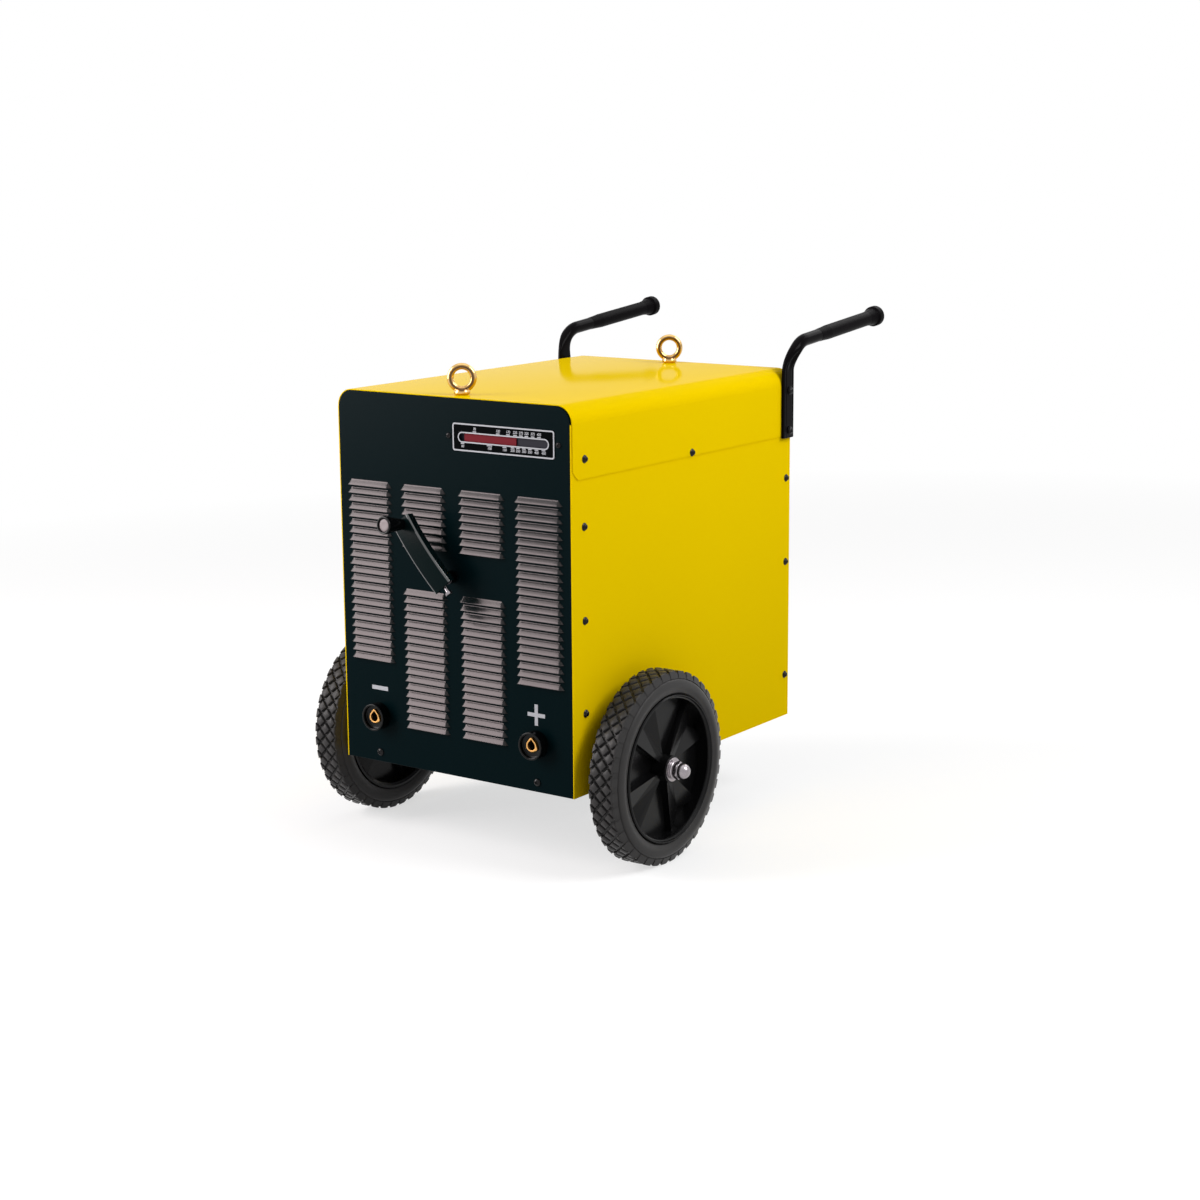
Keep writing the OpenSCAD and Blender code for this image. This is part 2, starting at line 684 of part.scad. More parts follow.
module crank_arm() {                      // bowed channel, open towards the panel, with a hub
  half_turn = asin(arm_half / arm_bow);
  in_case() color([0.04, 0.12, 0.12]) difference() {
    union() {
      on_spindle() translate([arm_mid, 0, -arm_y - arm_bow]) rotate([90, 0, 0]) rotate([0, 0, 90 - half_turn]) {
        rotate_extrude(angle = 2 * half_turn, $fn = 360) {
          translate([arm_bow - 2, -arm_w / 2]) square([2, arm_w]);
          for (s = [0, 1]) translate([arm_bow - 13, s ? arm_w / 2 - 2 : -arm_w / 2]) square([12, 2]);
        }
      }
      on_spindle() translate([0, 0, 26]) cylinder(r = 11, h = 13.2);
    }
    on_spindle() cylinder(r = journal_r + 0.02, h = 37.1);
    at_knob() translate([0, 0, -10]) cylinder(r = 4 + 0.02, h = 20);
    at_clamp() cylinder(r = 3.02, h = 15);
  }
}

module crank_knob() {
  in_case() color([0.06, 0.06, 0.06]) at_knob() rotate_extrude() polygon([
    [4 + running, 0.4], [8.5, 0.4], [8.5, 3], [9.5, 9], [11, 18], [12.8, 28], [knob_r, 34],
    [knob_r, knob_l - 2], [knob_r - 1, knob_l], [knob_r - 3.5, knob_l], [knob_r - 3.5, knob_l - 2],
    [8, knob_l - 2], [8, knob_l - 6], [4 + running, knob_l - 6]
  ]);
}

module crank_screws() {                   // shoulder screw in the knob, and the hub's clamp screw
  in_case() color("silver") {
    at_knob() {
      translate([0, 0, -6]) cylinder(r = 4, h = knob_l + 0.5);
      translate([0, 0, knob_l - 6 + 0.2]) cylinder(r = 7.6, h = 1.6);
      translate([0, 0, -7]) cylinder(r = 7, h = 4.95, $fn = 6);
    }
    at_clamp() {
      translate([0, 0, journal_r + 0.1]) cylinder(r = 3, h = 18);
      translate([0, 0, 23]) cylinder(r = 5.8, h = 4.2, $fn = 6);
    }
  }
}

module lead_screw() {                     // spindle, collar and thread in one piece
  in_case() color("silver") {
    rod_y(-37, frame_y + 6, 0, crank_z, journal_r);
    rod_y(-16, -2, 0, crank_z, 9.5);
    rod_y(frame_y + 5 + gap, core_y0 - 14 - gap, 0, crank_z, screw_r);
    rod_y(core_y0 - 15, core_y0 - 2, 0, crank_z, journal_r);
  }
}

module drive_frame() {                    // front bearing plate on two legs
  in_case() color([0.35, 0.36, 0.37]) difference() {
    union() {
      along_y(frame_y, frame_y + 5) difference() {
        translate([-150, floor_z]) square([300, crank_z + 26 - floor_z]);
        translate([-122, floor_z - 1]) square([244, crank_z - 40 - floor_z]);
      }
      for (s = [-1, 1]) translate([s * 136 - 14, frame_y - 20, floor_z]) cube([28, 24, 4]);
    }
    rod_y(frame_y - 1, frame_y + 6, 0, crank_z, journal_r + running);
    for (s = [-1, 1]) rod_y(frame_y - 1, frame_y + 6, s * rod_x0, crank_z, rod_r + 0.02);
  }
}

module screw_end_bearing() {
  in_case() color([0.5, 0.5, 0.5]) difference() {
    box(-26, 26, core_y0 - 14, core_y0, crank_z - 20, crank_z + 20);
    rod_y(core_y0 - 15, core_y0 - 1.5, 0, crank_z, journal_r + running);
  }
}

module guide_rods() {
  in_case() color("silver") for (s = [-1, 1]) rod_y(frame_y, core_y0, s * rod_x0, crank_z, rod_r);
}

module shunt_carriage() {                 // crosshead with the screw's nut and the cord arm
  y0 = carriage_y;
  y1 = carriage_y + carriage_t;
  arm_x = cord_left - pulley_r;
  in_case() color([0.55, 0.55, 0.55]) difference() {
    union() {
      box(-144, 144, y0, y1, crank_z - 16, crank_z + 16);
      rod_y(y0 - 8, y1 + 8, 0, crank_z, 15);
      box(arm_x - 8, arm_x + 8, y0 - 4, y0, crank_z - 16, cord_z + 7);
    }
    rod_y(y0 - 20, y1 + 20, 0, crank_z, screw_r + running);
    for (s = [-1, 1]) rod_y(y0 - 20, y1 + 20, s * rod_x0, crank_z, rod_r + running);
    box(arm_x - cord_r - 0.4, arm_x + cord_r + 0.4, y0 - 10, y0 + 1, cord_z - 1.5, cord_z + 20);
  }
}

module shunt_cores() {                    // laminated blocks that slide between the coils
  in_case() color([0.3, 0.31, 0.33]) for (s = [-1, 1]) {
    translate([s * limb_gap / 2 - 31, carriage_y + carriage_t, crank_z - 22]) cube([62, shunt_l, 44]);
  }
}

// ---- scale and indicator -------------------------------------------------------------------------

module scale_plate() {
  in_case() color([0.02, 0.03, 0.03]) along_y(-1, 0) difference() {
    union() {
      translate([4.7, 511.7]) square([190.3, 34.7]);
      translate([8.7, 507.7]) square([182.3, 42.7]);
      for (x = [8.7, 191], z = [511.7, 546.4]) translate([x, z]) circle(4);
    }
    slot_outline(17, 183, 529, 6.25);
  }
}

module indicator_bracket() {              // grey backing behind the slot, a shelf, and the pulley pins
  in_case() color([0.25, 0.25, 0.28]) difference() {
    union() {
      box(-60, 210, 4.3, 5.8, 519.5, shelf_z + 1.5);
      box(-60, 210, panel_t, 4.4, shelf_z - 1, shelf_z + 1.5);
      shelf_plate();
      box(-25, 25, 180, 200, shelf_z + 1, core_top);
      for (x = [-40, 150]) box(x, x + 4, 4.4, 15, cord_z - 11, 521);              // ears for the rail
      for (p = pulley_places) translate([p[0], p[1], cord_z - 6]) cylinder(r = 3, h = shelf_z - cord_z + 6.5);
    }
    rod_x(-41, 155, 12, cord_z - 7, 2.02);
  }
}

module shelf_plate() {                  // triangular shelf over the cord
  translate([0, 0, shelf_z]) linear_extrude(1.5) polygon([
    [-60, 5], [210, 5], [210, 45], [30, 285 - 5], [-60, 285 - 5]
  ]);
}

module indicator_rail() {
  in_case() color("silver") rod_x(-40, 154, 12, cord_z - 7, 2);
}

module indicator_slide() {                // red strip and the saddle that carries it
  in_case() {
    color([0.72, 0.12, 0.14]) box(strip_end - strip_l, strip_end, 2.4, 3.9, 522, 536);
    color([0.72, 0.12, 0.14]) difference() {
      union() {
        box(slide_x - 10, slide_x + 10, 2.4, 3.9, cord_z - 12, 523);
        box(slide_x - 10, slide_x + 10, 3.8, 16, cord_z - 12, cord_z - 2);
        box(slide_x - 5, slide_x + 5, 15, 16.6, cord_z - 12, cord_z + 3);
      }
      rod_x(slide_x - 20, slide_x + 20, 12, cord_z - 7, 2 + running);
    }
  }
}

function unit(v) = v / norm(v);
function side_point(a, b, r) = let (d = unit(b - a)) a + r * [d[1], -d[0]];    // right-hand side of a line

module indicator_cord() {                 // closed loop round three pulleys
  p = pulley_places;
  order = [p[0], p[1], p[2]];
  in_case() color([0.2, 0.2, 0.2]) translate([0, 0, cord_z - cord_r]) linear_extrude(2 * cord_r) difference() {
    loop_outline(order, pulley_r + cord_r);
    loop_outline(order, pulley_r - cord_r);
  }
}

module loop_outline(c, r) {               // belt outline round three centres
  for (q = c) translate(q) circle(r);
  polygon([for (i = [0:2], k = [0, 1]) k == 0 ? side_point(c[i], c[(i + 1) % 3], r)
    : c[(i + 1) % 3] + side_point(c[i], c[(i + 1) % 3], r) - c[i]]);
}

module pulley(p) {                        // grooved wheel on its pin
  in_case() color([0.8, 0.8, 0.75]) translate([p[0], p[1], cord_z]) rotate_extrude() polygon([
    [3 + running, -4], [pulley_r + 2, -4], [pulley_r + 2, -2.4], [pulley_r - cord_r - gap, -1.4],
    [pulley_r - cord_r - gap, 1.4], [pulley_r + 2, 2.4], [pulley_r + 2, 4], [3 + running, 4]
  ]);
}

module cord_pulley_front() { pulley(pulley_places[0]); }
module cord_pulley_far() { pulley(pulley_places[1]); }
module cord_pulley_rear() { pulley(pulley_places[2]); }

// ---- transformer, choke and rectifier ------------------------------------------------------------

module transformer_core() {               // three limbs between two yokes
  w = 2 * limb_gap + limb_w;
  in_case() color([0.28, 0.29, 0.31]) along_y(core_y0, core_y1) difference() {
    translate([-w / 2, core_bottom]) square([w, core_top - core_bottom]);
    for (s = [-1, 1]) translate([s * limb_gap / 2 - (limb_gap - limb_w) / 2, core_bottom + yoke_h]) {
      square([limb_gap - limb_w, core_top - core_bottom - 2 * yoke_h]);
    }
  }
}

module clamp_outline(z0, z1, foot) {
  square_x = 175;
  translate([-square_x, z0]) square([2 * square_x, z1 - z0]);
  if (foot) for (s = [-1, 1]) translate([s * 150 - 25, floor_z]) square([50, z0 - floor_z + 1]);
}

module core_clamps() {                    // steel cheeks on both yokes, with their through bolts
  in_case() color([0.4, 0.4, 0.42]) {
    for (y = [core_y0 - 6, core_y1]) {
      along_y(y, y + 6) clamp_outline(core_bottom + 6, core_bottom + 50, true);
      along_y(y, y + 6) clamp_outline(core_top - 50, core_top - 6, false);
    }
    for (s = [-1, 1], z = [core_bottom + 30, core_top - 30], y = [core_y0 - 12, core_y1 + 6]) {
      translate([s * 168, y + 6, z]) rotate([90, 0, 0]) cylinder(r = 8, h = 6, $fn = 6);
    }
    for (s = [-1, 1], z = [core_bottom + 30, core_top - 30]) rod_y(core_y0 - 1, core_y1 + 1, s * 168, z, 4.5);
  }
}

module coil(x, z0, z1) {
  m = 2;
  translate([x, (core_y0 + core_y1) / 2, z0]) linear_extrude(z1 - z0) difference() {
    rounded_rect(limb_w + 2 * coil_t, core_y1 - core_y0 + 2 * coil_t, 12);
    square([limb_w + 2 * m, core_y1 - core_y0 + 2 * m], center = true);
  }
}

module rounded_rect(w, d, r) {
  square([w - 2 * r, d], center = true);
  square([w, d - 2 * r], center = true);
  for (sx = [-1, 1], sy = [-1, 1]) translate([sx * (w / 2 - r), sy * (d / 2 - r)]) circle(r);
}

module primary_coils() {
  in_case() color([0.55, 0.3, 0.15]) for (i = [-1:1]) {
    coil(i * limb_gap, core_bottom + yoke_h + 4, crank_z - coil_gap);
  }
}

module secondary_coils() {
  in_case() color([0.7, 0.4, 0.2]) for (i = [-1:1]) {
    coil(i * limb_gap, crank_z + coil_gap, core_top - yoke_h - 4);
  }
}

module output_choke() {
  in_case() translate([-110, 470, floor_z]) {
    color([0.28, 0.29, 0.31]) rotate([90, 0, 0]) translate([0, 0, -35]) linear_extrude(70) difference() {
      translate([-70, 0]) square([140, 130]);
      for (s = [-1, 1]) translate([s * 36 - 14, 25]) square([28, 80]);
    }
    color([0.7, 0.4, 0.2]) translate([0, 0, 27]) linear_extrude(76) difference() {
      rounded_rect(92, 112, 10);
      square([46, 72], center = true);
    }
  }
}

module rectifier_heat_sinks() {           // finned aluminium, one for each phase, on a cross rail
  in_case() color([0.75, 0.76, 0.78]) {
    for (x = sink_places) translate([x - 45, sink_y, 200]) linear_extrude(220) {
      square([90, 8]);
      for (i = [0:9]) translate([i * 9 + 3, 7]) square([2.4, 42]);
    }
    box(-208, 208, sink_y, sink_y + 4, 185, 200);
    for (s = [-1, 1]) box(s * 208 - 4, s * 208 + 4, sink_y - 6, sink_y + 10, floor_z + sheet, 200);
  }
}

module rectifier_diodes() {
  in_case() color([0.7, 0.62, 0.4]) for (x = sink_places, z = [260, 360]) {
    rod_y(sink_y - 12, sink_y, x, z, 14);
    translate([x, sink_y - 12, z]) rotate([90, 0, 0]) cylinder(r = 9, h = 8, $fn = 6);
    rod_y(sink_y - 34, sink_y - 19, x, z, 4);
  }
}

module fan_shroud() {                     // square plate with a duct, against the rear panel
  y1 = case_d - panel_t;
  in_case() color([0.2, 0.2, 0.21]) difference() {
    union() {
      along_y(y1 - 4, y1) difference() {
        translate([-135, fan_z - 135]) square(270);
        translate([0, fan_z]) circle(fan_r);
      }
      along_y(y1 - 44, y1 - 3) translate([0, fan_z]) difference() {
        circle(fan_r + 3);
        circle(fan_r);
      }
      along_y(y1 - 48, y1 - 44) translate([0, fan_z]) difference() {       // arms that hold the motor
        union() {
          for (a = [45, 135]) rotate(a) square([2 * fan_r + 6, 14], center = true);
          circle(50);
          difference() {
            circle(fan_r + 3);
            circle(fan_r);
          }
        }
        circle(20);
      }
    }
  }
}

module fan_motor() {
  y1 = case_d - panel_t - 48;
  in_case() color([0.45, 0.45, 0.47]) {
    rod_y(y1 - 52, y1, 0, fan_z, 42);
    rod_y(y1, y1 + 26, 0, fan_z, 4);
  }
}

module fan_blades() {
  y = case_d - panel_t - 28;
  in_case() color([0.1, 0.1, 0.1]) difference() {
    union() {
      rod_y(y - 10, y + 12, 0, fan_z, 26);
      for (a = [0:60:359]) translate([0, y, fan_z]) rotate([0, a, 0]) intersection() {
        translate([20, 0, 0]) rotate([32, 0, 0]) translate([0, -1.2, -26]) cube([fan_r - 24, 2.4, 52]);
        rotate([90, 0, 0]) cylinder(r = fan_r - 4, h = 60, center = true);
        box(0, 200, -11, 11, -60, 60);
      }
    }
    rod_y(y - 20, y + 8, 0, fan_z, 4 + running);
  }
}

module mains_switch() {
  in_case() color([0.1, 0.1, 0.1]) {
    box(switch_x - 32, switch_x + 32, 560, case_d - panel_t, switch_z - 32, switch_z + 26);
    rod_y(case_d - panel_t - 1, case_d + 4, switch_x, switch_z, 10.5);
    along_y(case_d, case_d + 2) translate([switch_x, switch_z]) difference() {
      square(56, center = true);
      circle(11.5);
    }
    rod_y(case_d + 3, case_d + 16, switch_x, switch_z, 4);
  }
}

module mains_switch_knob() {              // turning grip bar on a round boss
  in_case() color([0.7, 0.1, 0.1]) difference() {
    union() {
      rod_y(case_d + 4.4, case_d + 12, switch_x, switch_z, 22);
      box(switch_x - 5, switch_x + 5, case_d + 11, case_d + 28, switch_z - 21, switch_z + 21);
    }
    rod_y(case_d, case_d + 16.5, switch_x, switch_z, 4 + running);
  }
}

module cable_gland() {                    // open inlet: no lead is fitted
  in_case() color([0.08, 0.08, 0.08]) difference() {
    union() {
      rod_y(case_d - 14, case_d + 2, gland_x, gland_z, 12.5);
      translate([gland_x, case_d + 5, gland_z]) rotate([90, 0, 0]) cylinder(r = 18, h = 5, $fn = 6);
      translate([gland_x, case_d, gland_z]) rotate([-90, 0, 0]) {
        cylinder(r = 15, h = 14);
        translate([0, 0, 14]) cylinder(r1 = 15, r2 = 11.5, h = 8);
      }
      translate([gland_x, case_d - panel_t, gland_z]) rotate([90, 0, 0]) cylinder(r = 17, h = 6, $fn = 6);
    }
    rod_y(case_d - 20, case_d + 30, gland_x, gland_z, gland_bore);
  }
}

// ---- welding sockets -----------------------------------------------------------------------------

module socket_collar(x) {                 // black insulating collar through the panel
  translate([x, 0, socket_z]) rotate([90, 0, 0]) difference() {
    union() {
      cylinder(r = 21.5, h = socket_out);
      translate([0, 0, -10]) cylinder(r = 16, h = 12);
      translate([0, 0, -10]) cylinder(r = 21, h = 8 - gap);
    }
    translate([0, 0, socket_out - 7]) cylinder(r = 18, h = 10);
    translate([0, 0, -20]) cylinder(r = 11 + 0.02, h = 60);
  }
}

module socket_insert(x) {                 // brass sleeve with a key groove at the top
  translate([x, 0, socket_z]) rotate([90, 0, 0]) {
    difference() {
      translate([0, 0, -12]) cylinder(r = 11, h = socket_out + 8);
      translate([0, 0, -8]) cylinder(r = 7, h = 40);
      translate([-2.2, 0, -2]) cube([4.4, 9.6, 40]);
    }
    translate([0, 0, -34]) cylinder(r = 6, h = 23);
    translate([0, 0, -17]) cylinder(r = 13, h = 5.01);
  }
}

module socket_collar_minus() { in_case() color([0.06, 0.06, 0.06]) socket_collar(-socket_x); }
module socket_collar_plus() { in_case() color([0.06, 0.06, 0.06]) socket_collar(socket_x); }
module socket_insert_minus() { in_case() color([0.85, 0.65, 0.3]) socket_insert(-socket_x); }
module socket_insert_plus() { in_case() color([0.85, 0.65, 0.3]) socket_insert(socket_x); }

module busbars() {                        // flat bars from the sockets to the rear
  in_case() color([0.75, 0.45, 0.25]) both_sides() difference() {
    translate([0, 0, socket_z - 10]) linear_extrude(20) polygon([
      [socket_x - 12, 17], [204, 17], [204, sink_y + 6], [200, sink_y + 6], [200, 21], [socket_x - 12, 21]
    ]);
    rod_y(10, 30, socket_x, socket_z, 6.02);
  }
}

front_panel();
top_cover();
side_panel_left();
side_panel_right();
rear_panel();
base_plate();
lifting_beam();
lifting_eye_bolts();
panel_screws();
handle_bolts();
handle_tube_left();
handle_tube_right();
grip_left();
grip_right();
axle();
axle_brackets();
axle_nuts();
tyre_left();
tyre_right();
rim_left();
rim_right();
wheel_bearing_left();
wheel_bearing_right();
rear_stand();
stand_feet();
crank_arm();
crank_knob();
crank_screws();
lead_screw();
drive_frame();
screw_end_bearing();
guide_rods();
shunt_carriage();
shunt_cores();
scale_plate();
indicator_bracket();
indicator_rail();
indicator_slide();
indicator_cord();
cord_pulley_front();
cord_pulley_far();
cord_pulley_rear();
transformer_core();
core_clamps();
primary_coils();
secondary_coils();
output_choke();
rectifier_heat_sinks();
rectifier_diodes();
fan_shroud();
fan_motor();
fan_blades();
mains_switch();
mains_switch_knob();
cable_gland();
socket_collar_minus();
socket_collar_plus();
socket_insert_minus();
socket_insert_plus();
busbars();
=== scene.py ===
# A wheeled welding power source with a crank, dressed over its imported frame.
import bpy
import bmesh
import json
import math
from mathutils import Matrix, Vector

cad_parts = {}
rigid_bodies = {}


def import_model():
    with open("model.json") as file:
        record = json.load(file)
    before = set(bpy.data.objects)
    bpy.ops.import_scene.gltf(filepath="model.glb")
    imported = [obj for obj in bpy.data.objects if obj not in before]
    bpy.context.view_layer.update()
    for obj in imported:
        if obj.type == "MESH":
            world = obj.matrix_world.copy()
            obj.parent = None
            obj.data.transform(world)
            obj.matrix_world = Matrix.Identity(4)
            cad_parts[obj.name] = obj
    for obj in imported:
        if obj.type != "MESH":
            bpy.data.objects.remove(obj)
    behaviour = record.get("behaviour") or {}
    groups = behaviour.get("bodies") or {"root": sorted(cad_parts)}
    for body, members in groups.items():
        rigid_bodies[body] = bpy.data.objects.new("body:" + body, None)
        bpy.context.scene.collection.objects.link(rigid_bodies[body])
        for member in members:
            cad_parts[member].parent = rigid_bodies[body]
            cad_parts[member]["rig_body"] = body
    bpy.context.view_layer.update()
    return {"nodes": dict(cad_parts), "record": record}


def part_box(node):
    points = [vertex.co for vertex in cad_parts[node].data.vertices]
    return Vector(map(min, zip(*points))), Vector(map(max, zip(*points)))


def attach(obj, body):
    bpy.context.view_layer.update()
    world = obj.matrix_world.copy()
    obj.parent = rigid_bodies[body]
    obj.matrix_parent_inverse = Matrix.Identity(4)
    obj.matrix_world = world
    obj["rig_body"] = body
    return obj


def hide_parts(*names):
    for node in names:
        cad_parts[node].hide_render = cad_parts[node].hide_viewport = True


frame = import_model()
nodes = frame["nodes"]

casing = {"deep": 616, "high": 588}      # millimetres, as every size below
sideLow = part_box("side_panel_right")[0]
caseOrigin = Vector((0, sideLow.y, sideLow.z))


def place(x, y, z):      # from the front panel's lower edge, y to the rear, to metres in the frame
    return caseOrigin + Vector((x, y, z)) / 1000


class Value:      # wraps a socket, so that sums on it add Math nodes
    def __init__(self, network, socket):
        self.network = network
        self.socket = socket

    def math(self, operation, *others):
        sockets = {i: v for i, v in enumerate((self,) + others)}
        return self.network.node("ShaderNodeMath", {"operation": operation}, sockets)

    def __add__(self, other): return self.math("ADD", other)
    def __sub__(self, other): return self.math("SUBTRACT", other)
    def __mul__(self, other): return self.math("MULTIPLY", other)
    def __radd__(self, other): return self + other
    def __rsub__(self, other): return self * -1 + other
    def __rmul__(self, other): return self * other

    def clamp(self, low, high):      # 0 below low, 1 above high
        return self.network.node("ShaderNodeMapRange", {}, {
            "Value": self, "From Min": low, "From Max": high})


class Network:      # a node tree and what adds nodes to it
    def __init__(self, tree):
        self.tree = tree

    def feed(self, node, sockets):      # links values, and sets constants on the sockets themselves
        for key, value in sockets.items():
            if isinstance(value, Value):
                self.tree.links.new(value.socket, node.inputs[key])
                continue
            if isinstance(value, tuple) and len(value) == 3 and node.inputs[key].type == "RGBA":
                value = value + (1.0,)
            node.inputs[key].default_value = value

    def node(self, kind, settings, sockets, out=0):
        made = self.tree.nodes.new(kind)
        for key, value in settings.items():
            setattr(made, key, value)
        self.feed(made, sockets)
        return Value(self, made.outputs[out])

    def spot(self):      # place on the piece, in metres
        return self.node("ShaderNodeTexCoord", {}, {}, "Object")

    def vector(self, operation, a, b):
        return self.node("ShaderNodeVectorMath", {"operation": operation}, {0: a, 1: b})

    def dot(self, a, b):
        return self.node("ShaderNodeVectorMath", {"operation": "DOT_PRODUCT"}, {0: a, 1: b}, 1)

    def noise(self, scale, detail=2.0, squash=None):
        where = self.vector("MULTIPLY", self.spot(), squash) if squash else self.spot()
        return self.node("ShaderNodeTexNoise", {}, {
            "Vector": where, "Scale": scale, "Detail": detail})

    def mix(self, factor, a, b):
        return self.node("ShaderNodeMix", {"data_type": "RGBA"}, {0: factor, 6: a, 7: b}, 2)

    def bump(self, height, distance):
        return self.node("ShaderNodeBump", {}, {"Height": height, "Distance": distance})


finishes = {}


class Finish(Network):      # a material, kept under its name
    def __init__(self, name, **constants):
        self.material = bpy.data.materials.new(name)
        self.material.use_nodes = True
        super().__init__(self.material.node_tree)
        self.surface = self.tree.nodes["Principled BSDF"]
        self.wear(**constants)
        finishes[name] = self.material

    def wear(self, **sockets):
        self.feed(self.surface, {k.replace("_", " "): v for k, v in sockets.items()})

    def varied(self, middle, spread, scale, detail):      # a number with soft blotches
        return middle + (self.noise(scale, detail) - 0.5) * spread


def tint(*screen):      # screen values from 0 to 255 to linear colour
    return tuple(c / 12.92 if c <= 0.04045 else ((c + 0.055) / 1.055) ** 2.4
                 for c in (s / 255 for s in screen))


def shade(colour, amount):
    return tuple(c * amount for c in colour)


def powderCoat(name, colour, rough, peel, **constants):
    f = Finish(name, **constants)
    f.wear(Base_Color=f.mix(f.noise(3.0, 3.0), shade(colour, 0.97), shade(colour, 1.03)),
           Roughness=f.varied(rough, 0.06, 14.0, 4.0),
           Normal=f.bump(f.noise(420), peel))


def moulded(name, colour, rough, grain, **constants):
    f = Finish(name, **constants)
    f.wear(Base_Color=f.mix(f.noise(60.0, 4.0), shade(colour, 0.9), shade(colour, 1.1)),
           Roughness=f.varied(rough, 0.1, 40.0, 3.0),
           Normal=f.bump(f.noise(1500, 3.0), grain))


def metal(name, colour, rough, grain, spread=0.08, squash=None):
    f = Finish(name, Metallic=1.0)
    streak = f.noise(900, 3.0, squash)
    f.wear(Base_Color=f.mix(f.noise(90.0, 3.0), shade(colour, 1 - spread), shade(colour, 1 + spread)),
           Roughness=rough + (streak - 0.5) * 0.12,
           Normal=f.bump(streak, grain))


print("finishes")
powderCoat("casing_yellow", tint(234, 198, 0), 0.09, 0.000006, IOR=1.02)
powderCoat("panel_dark", tint(2, 17, 20), 0.3, 0.00003, IOR=1.085)
# the panel's paint made more reflective, with a pink reflection tint: the hoods' real reflection of the
# key lamp, strengthened into a painted sheen
powderCoat("louvrePaint", tint(4, 18, 19), 0.24, 0.00002,
           Specular_IOR_Level=0.36, Specular_Tint=(1.0, 0.84, 0.85))
powderCoat("handle_black", tint(10, 8, 10), 0.17, 0.00001, IOR=1.1)
powderCoat("crank_paint", tint(4, 18, 19), 0.34, 0.00003, Specular_IOR_Level=0.3)
powderCoat("black_screw", tint(10, 8, 10), 0.26, 0.00001, IOR=1.3)
powderCoat("core_steel", tint(60, 64, 68), 0.5, 0.00002)
powderCoat("indicator_grey", tint(44, 44, 52), 0.45, 0.00002, Specular_IOR_Level=0.08)
moulded("grip_rubber", tint(10, 8, 10), 0.34, 0.00002, IOR=1.08)
moulded("tyre_rubber", tint(60, 59, 59), 0.36, 0.00004, IOR=1.2)
moulded("rim_plastic", tint(12, 12, 13), 0.24, 0.00001, IOR=1.24)
moulded("knob_black", tint(5, 6, 7), 0.18, 0.000005, IOR=1.28)
# pale pink on the knob's black end disc: a painted reflection of the key lamp
moulded("knobCap", tint(120, 108, 110), 0.3, 0.00001, Specular_IOR_Level=0.3)
moulded("socket_black", tint(5, 6, 7), 0.18, 0.000005, IOR=1.25)
moulded("scale_black", tint(2, 4, 5), 0.4, 0.00001, IOR=1.06)
moulded("scaleWhite", tint(170, 172, 178), 0.5, 0.00001)
moulded("indicator_red", tint(112, 26, 36), 0.45, 0.00001, IOR=1.15)
moulded("inner_plastic", tint(30, 30, 32), 0.5, 0.00003)
moulded("gland_plastic", tint(22, 22, 23), 0.45, 0.00002)
moulded("pulley_plastic", tint(214, 210, 196), 0.45, 0.00002)
moulded("cord", tint(40, 40, 40), 0.8, 0.0001)
moulded("switch_red", tint(168, 30, 30), 0.35, 0.00002)
metal("zinc", tint(158, 152, 156), 0.26, 0.00001, 0.25)
metal("yellow_zinc", tint(196, 158, 96), 0.16, 0.000005)
# painted shade: dark metal for the tube inside the socket bores
metal("boreShade", tint(58, 52, 26), 0.5, 0.00001)
metal("collarMetal", tint(74, 70, 74), 0.16, 0.000005)
metal("steel", tint(150, 152, 155), 0.35, 0.00001)
metal("aluminium", tint(205, 206, 208), 0.3, 0.00001, squash=(1, 1, 0.05))
metal("copper", tint(200, 120, 80), 0.3, 0.00001)
metal("socket_brass", tint(206, 156, 92), 0.4, 0.00001)
metal("winding", tint(150, 84, 40), 0.35, 0.00001)

for part in frame["record"]["subparts"]:
    mesh = nodes[part["node"]].data
    mesh.materials.clear()
    mesh.materials.append(finishes[part["material_slot"]])


view = {
    "from": (2.17598, -3.06670, 1.10689),
    "azimuth": 35.673, "elevation": 11.498, "roll": -0.46,
    "lens": 69.13, "sensor": 36, "shiftX": 0.0041, "shiftY": -0.0035,
}


def makeCamera():
    az, el, roll = (math.radians(view[k]) for k in ("azimuth", "elevation", "roll"))
    ahead = Vector((-math.sin(az) * math.cos(el), math.cos(az) * math.cos(el), -math.sin(el)))
    right = Vector((math.cos(az), math.sin(az), 0))
    up = right.cross(ahead)
    x = math.cos(roll) * right + math.sin(roll) * up
    y = math.cos(roll) * up - math.sin(roll) * right
    data = bpy.data.cameras.new("camera")
    data.lens = view["lens"]
    data.sensor_width = view["sensor"]
    data.shift_x, data.shift_y = view["shiftX"], view["shiftY"]
    camera = bpy.data.objects.new("camera", data)
    facing = Matrix((x, y, -ahead)).transposed().to_4x4()
    camera.matrix_world = Matrix.Translation(view["from"]) @ facing
    bpy.context.scene.collection.objects.link(camera)
    bpy.context.scene.camera = camera


lamps = {      # where each stands (azimuth, elevation, metres away), its size, power and colour
    "key": (-46, 20, 3.4, (1.7, 2.7), 130, (1.0, 0.95, 0.95)),
    "side": (97, 40, 3.4, (1.4, 1.8), 66, (1.0, 1.0, 1.0)),
    "top": (20, 82, 3.0, (2.4, 2.4), 11, (1.0, 1.0, 1.0)),
    "rear": (170, 40, 3.6, (2.4, 1.6), 26, (1.0, 1.0, 1.0)),
}
studio = {
    "middle": (0, 0, 0.4),      # what the lamps point at
    "ambient": 0.26, "glow": 0.62, "albedo": 0.42,
    "near": 1.3, "far": 3.2,      # the floor turns plain white between these distances
    "floor": 30,
}


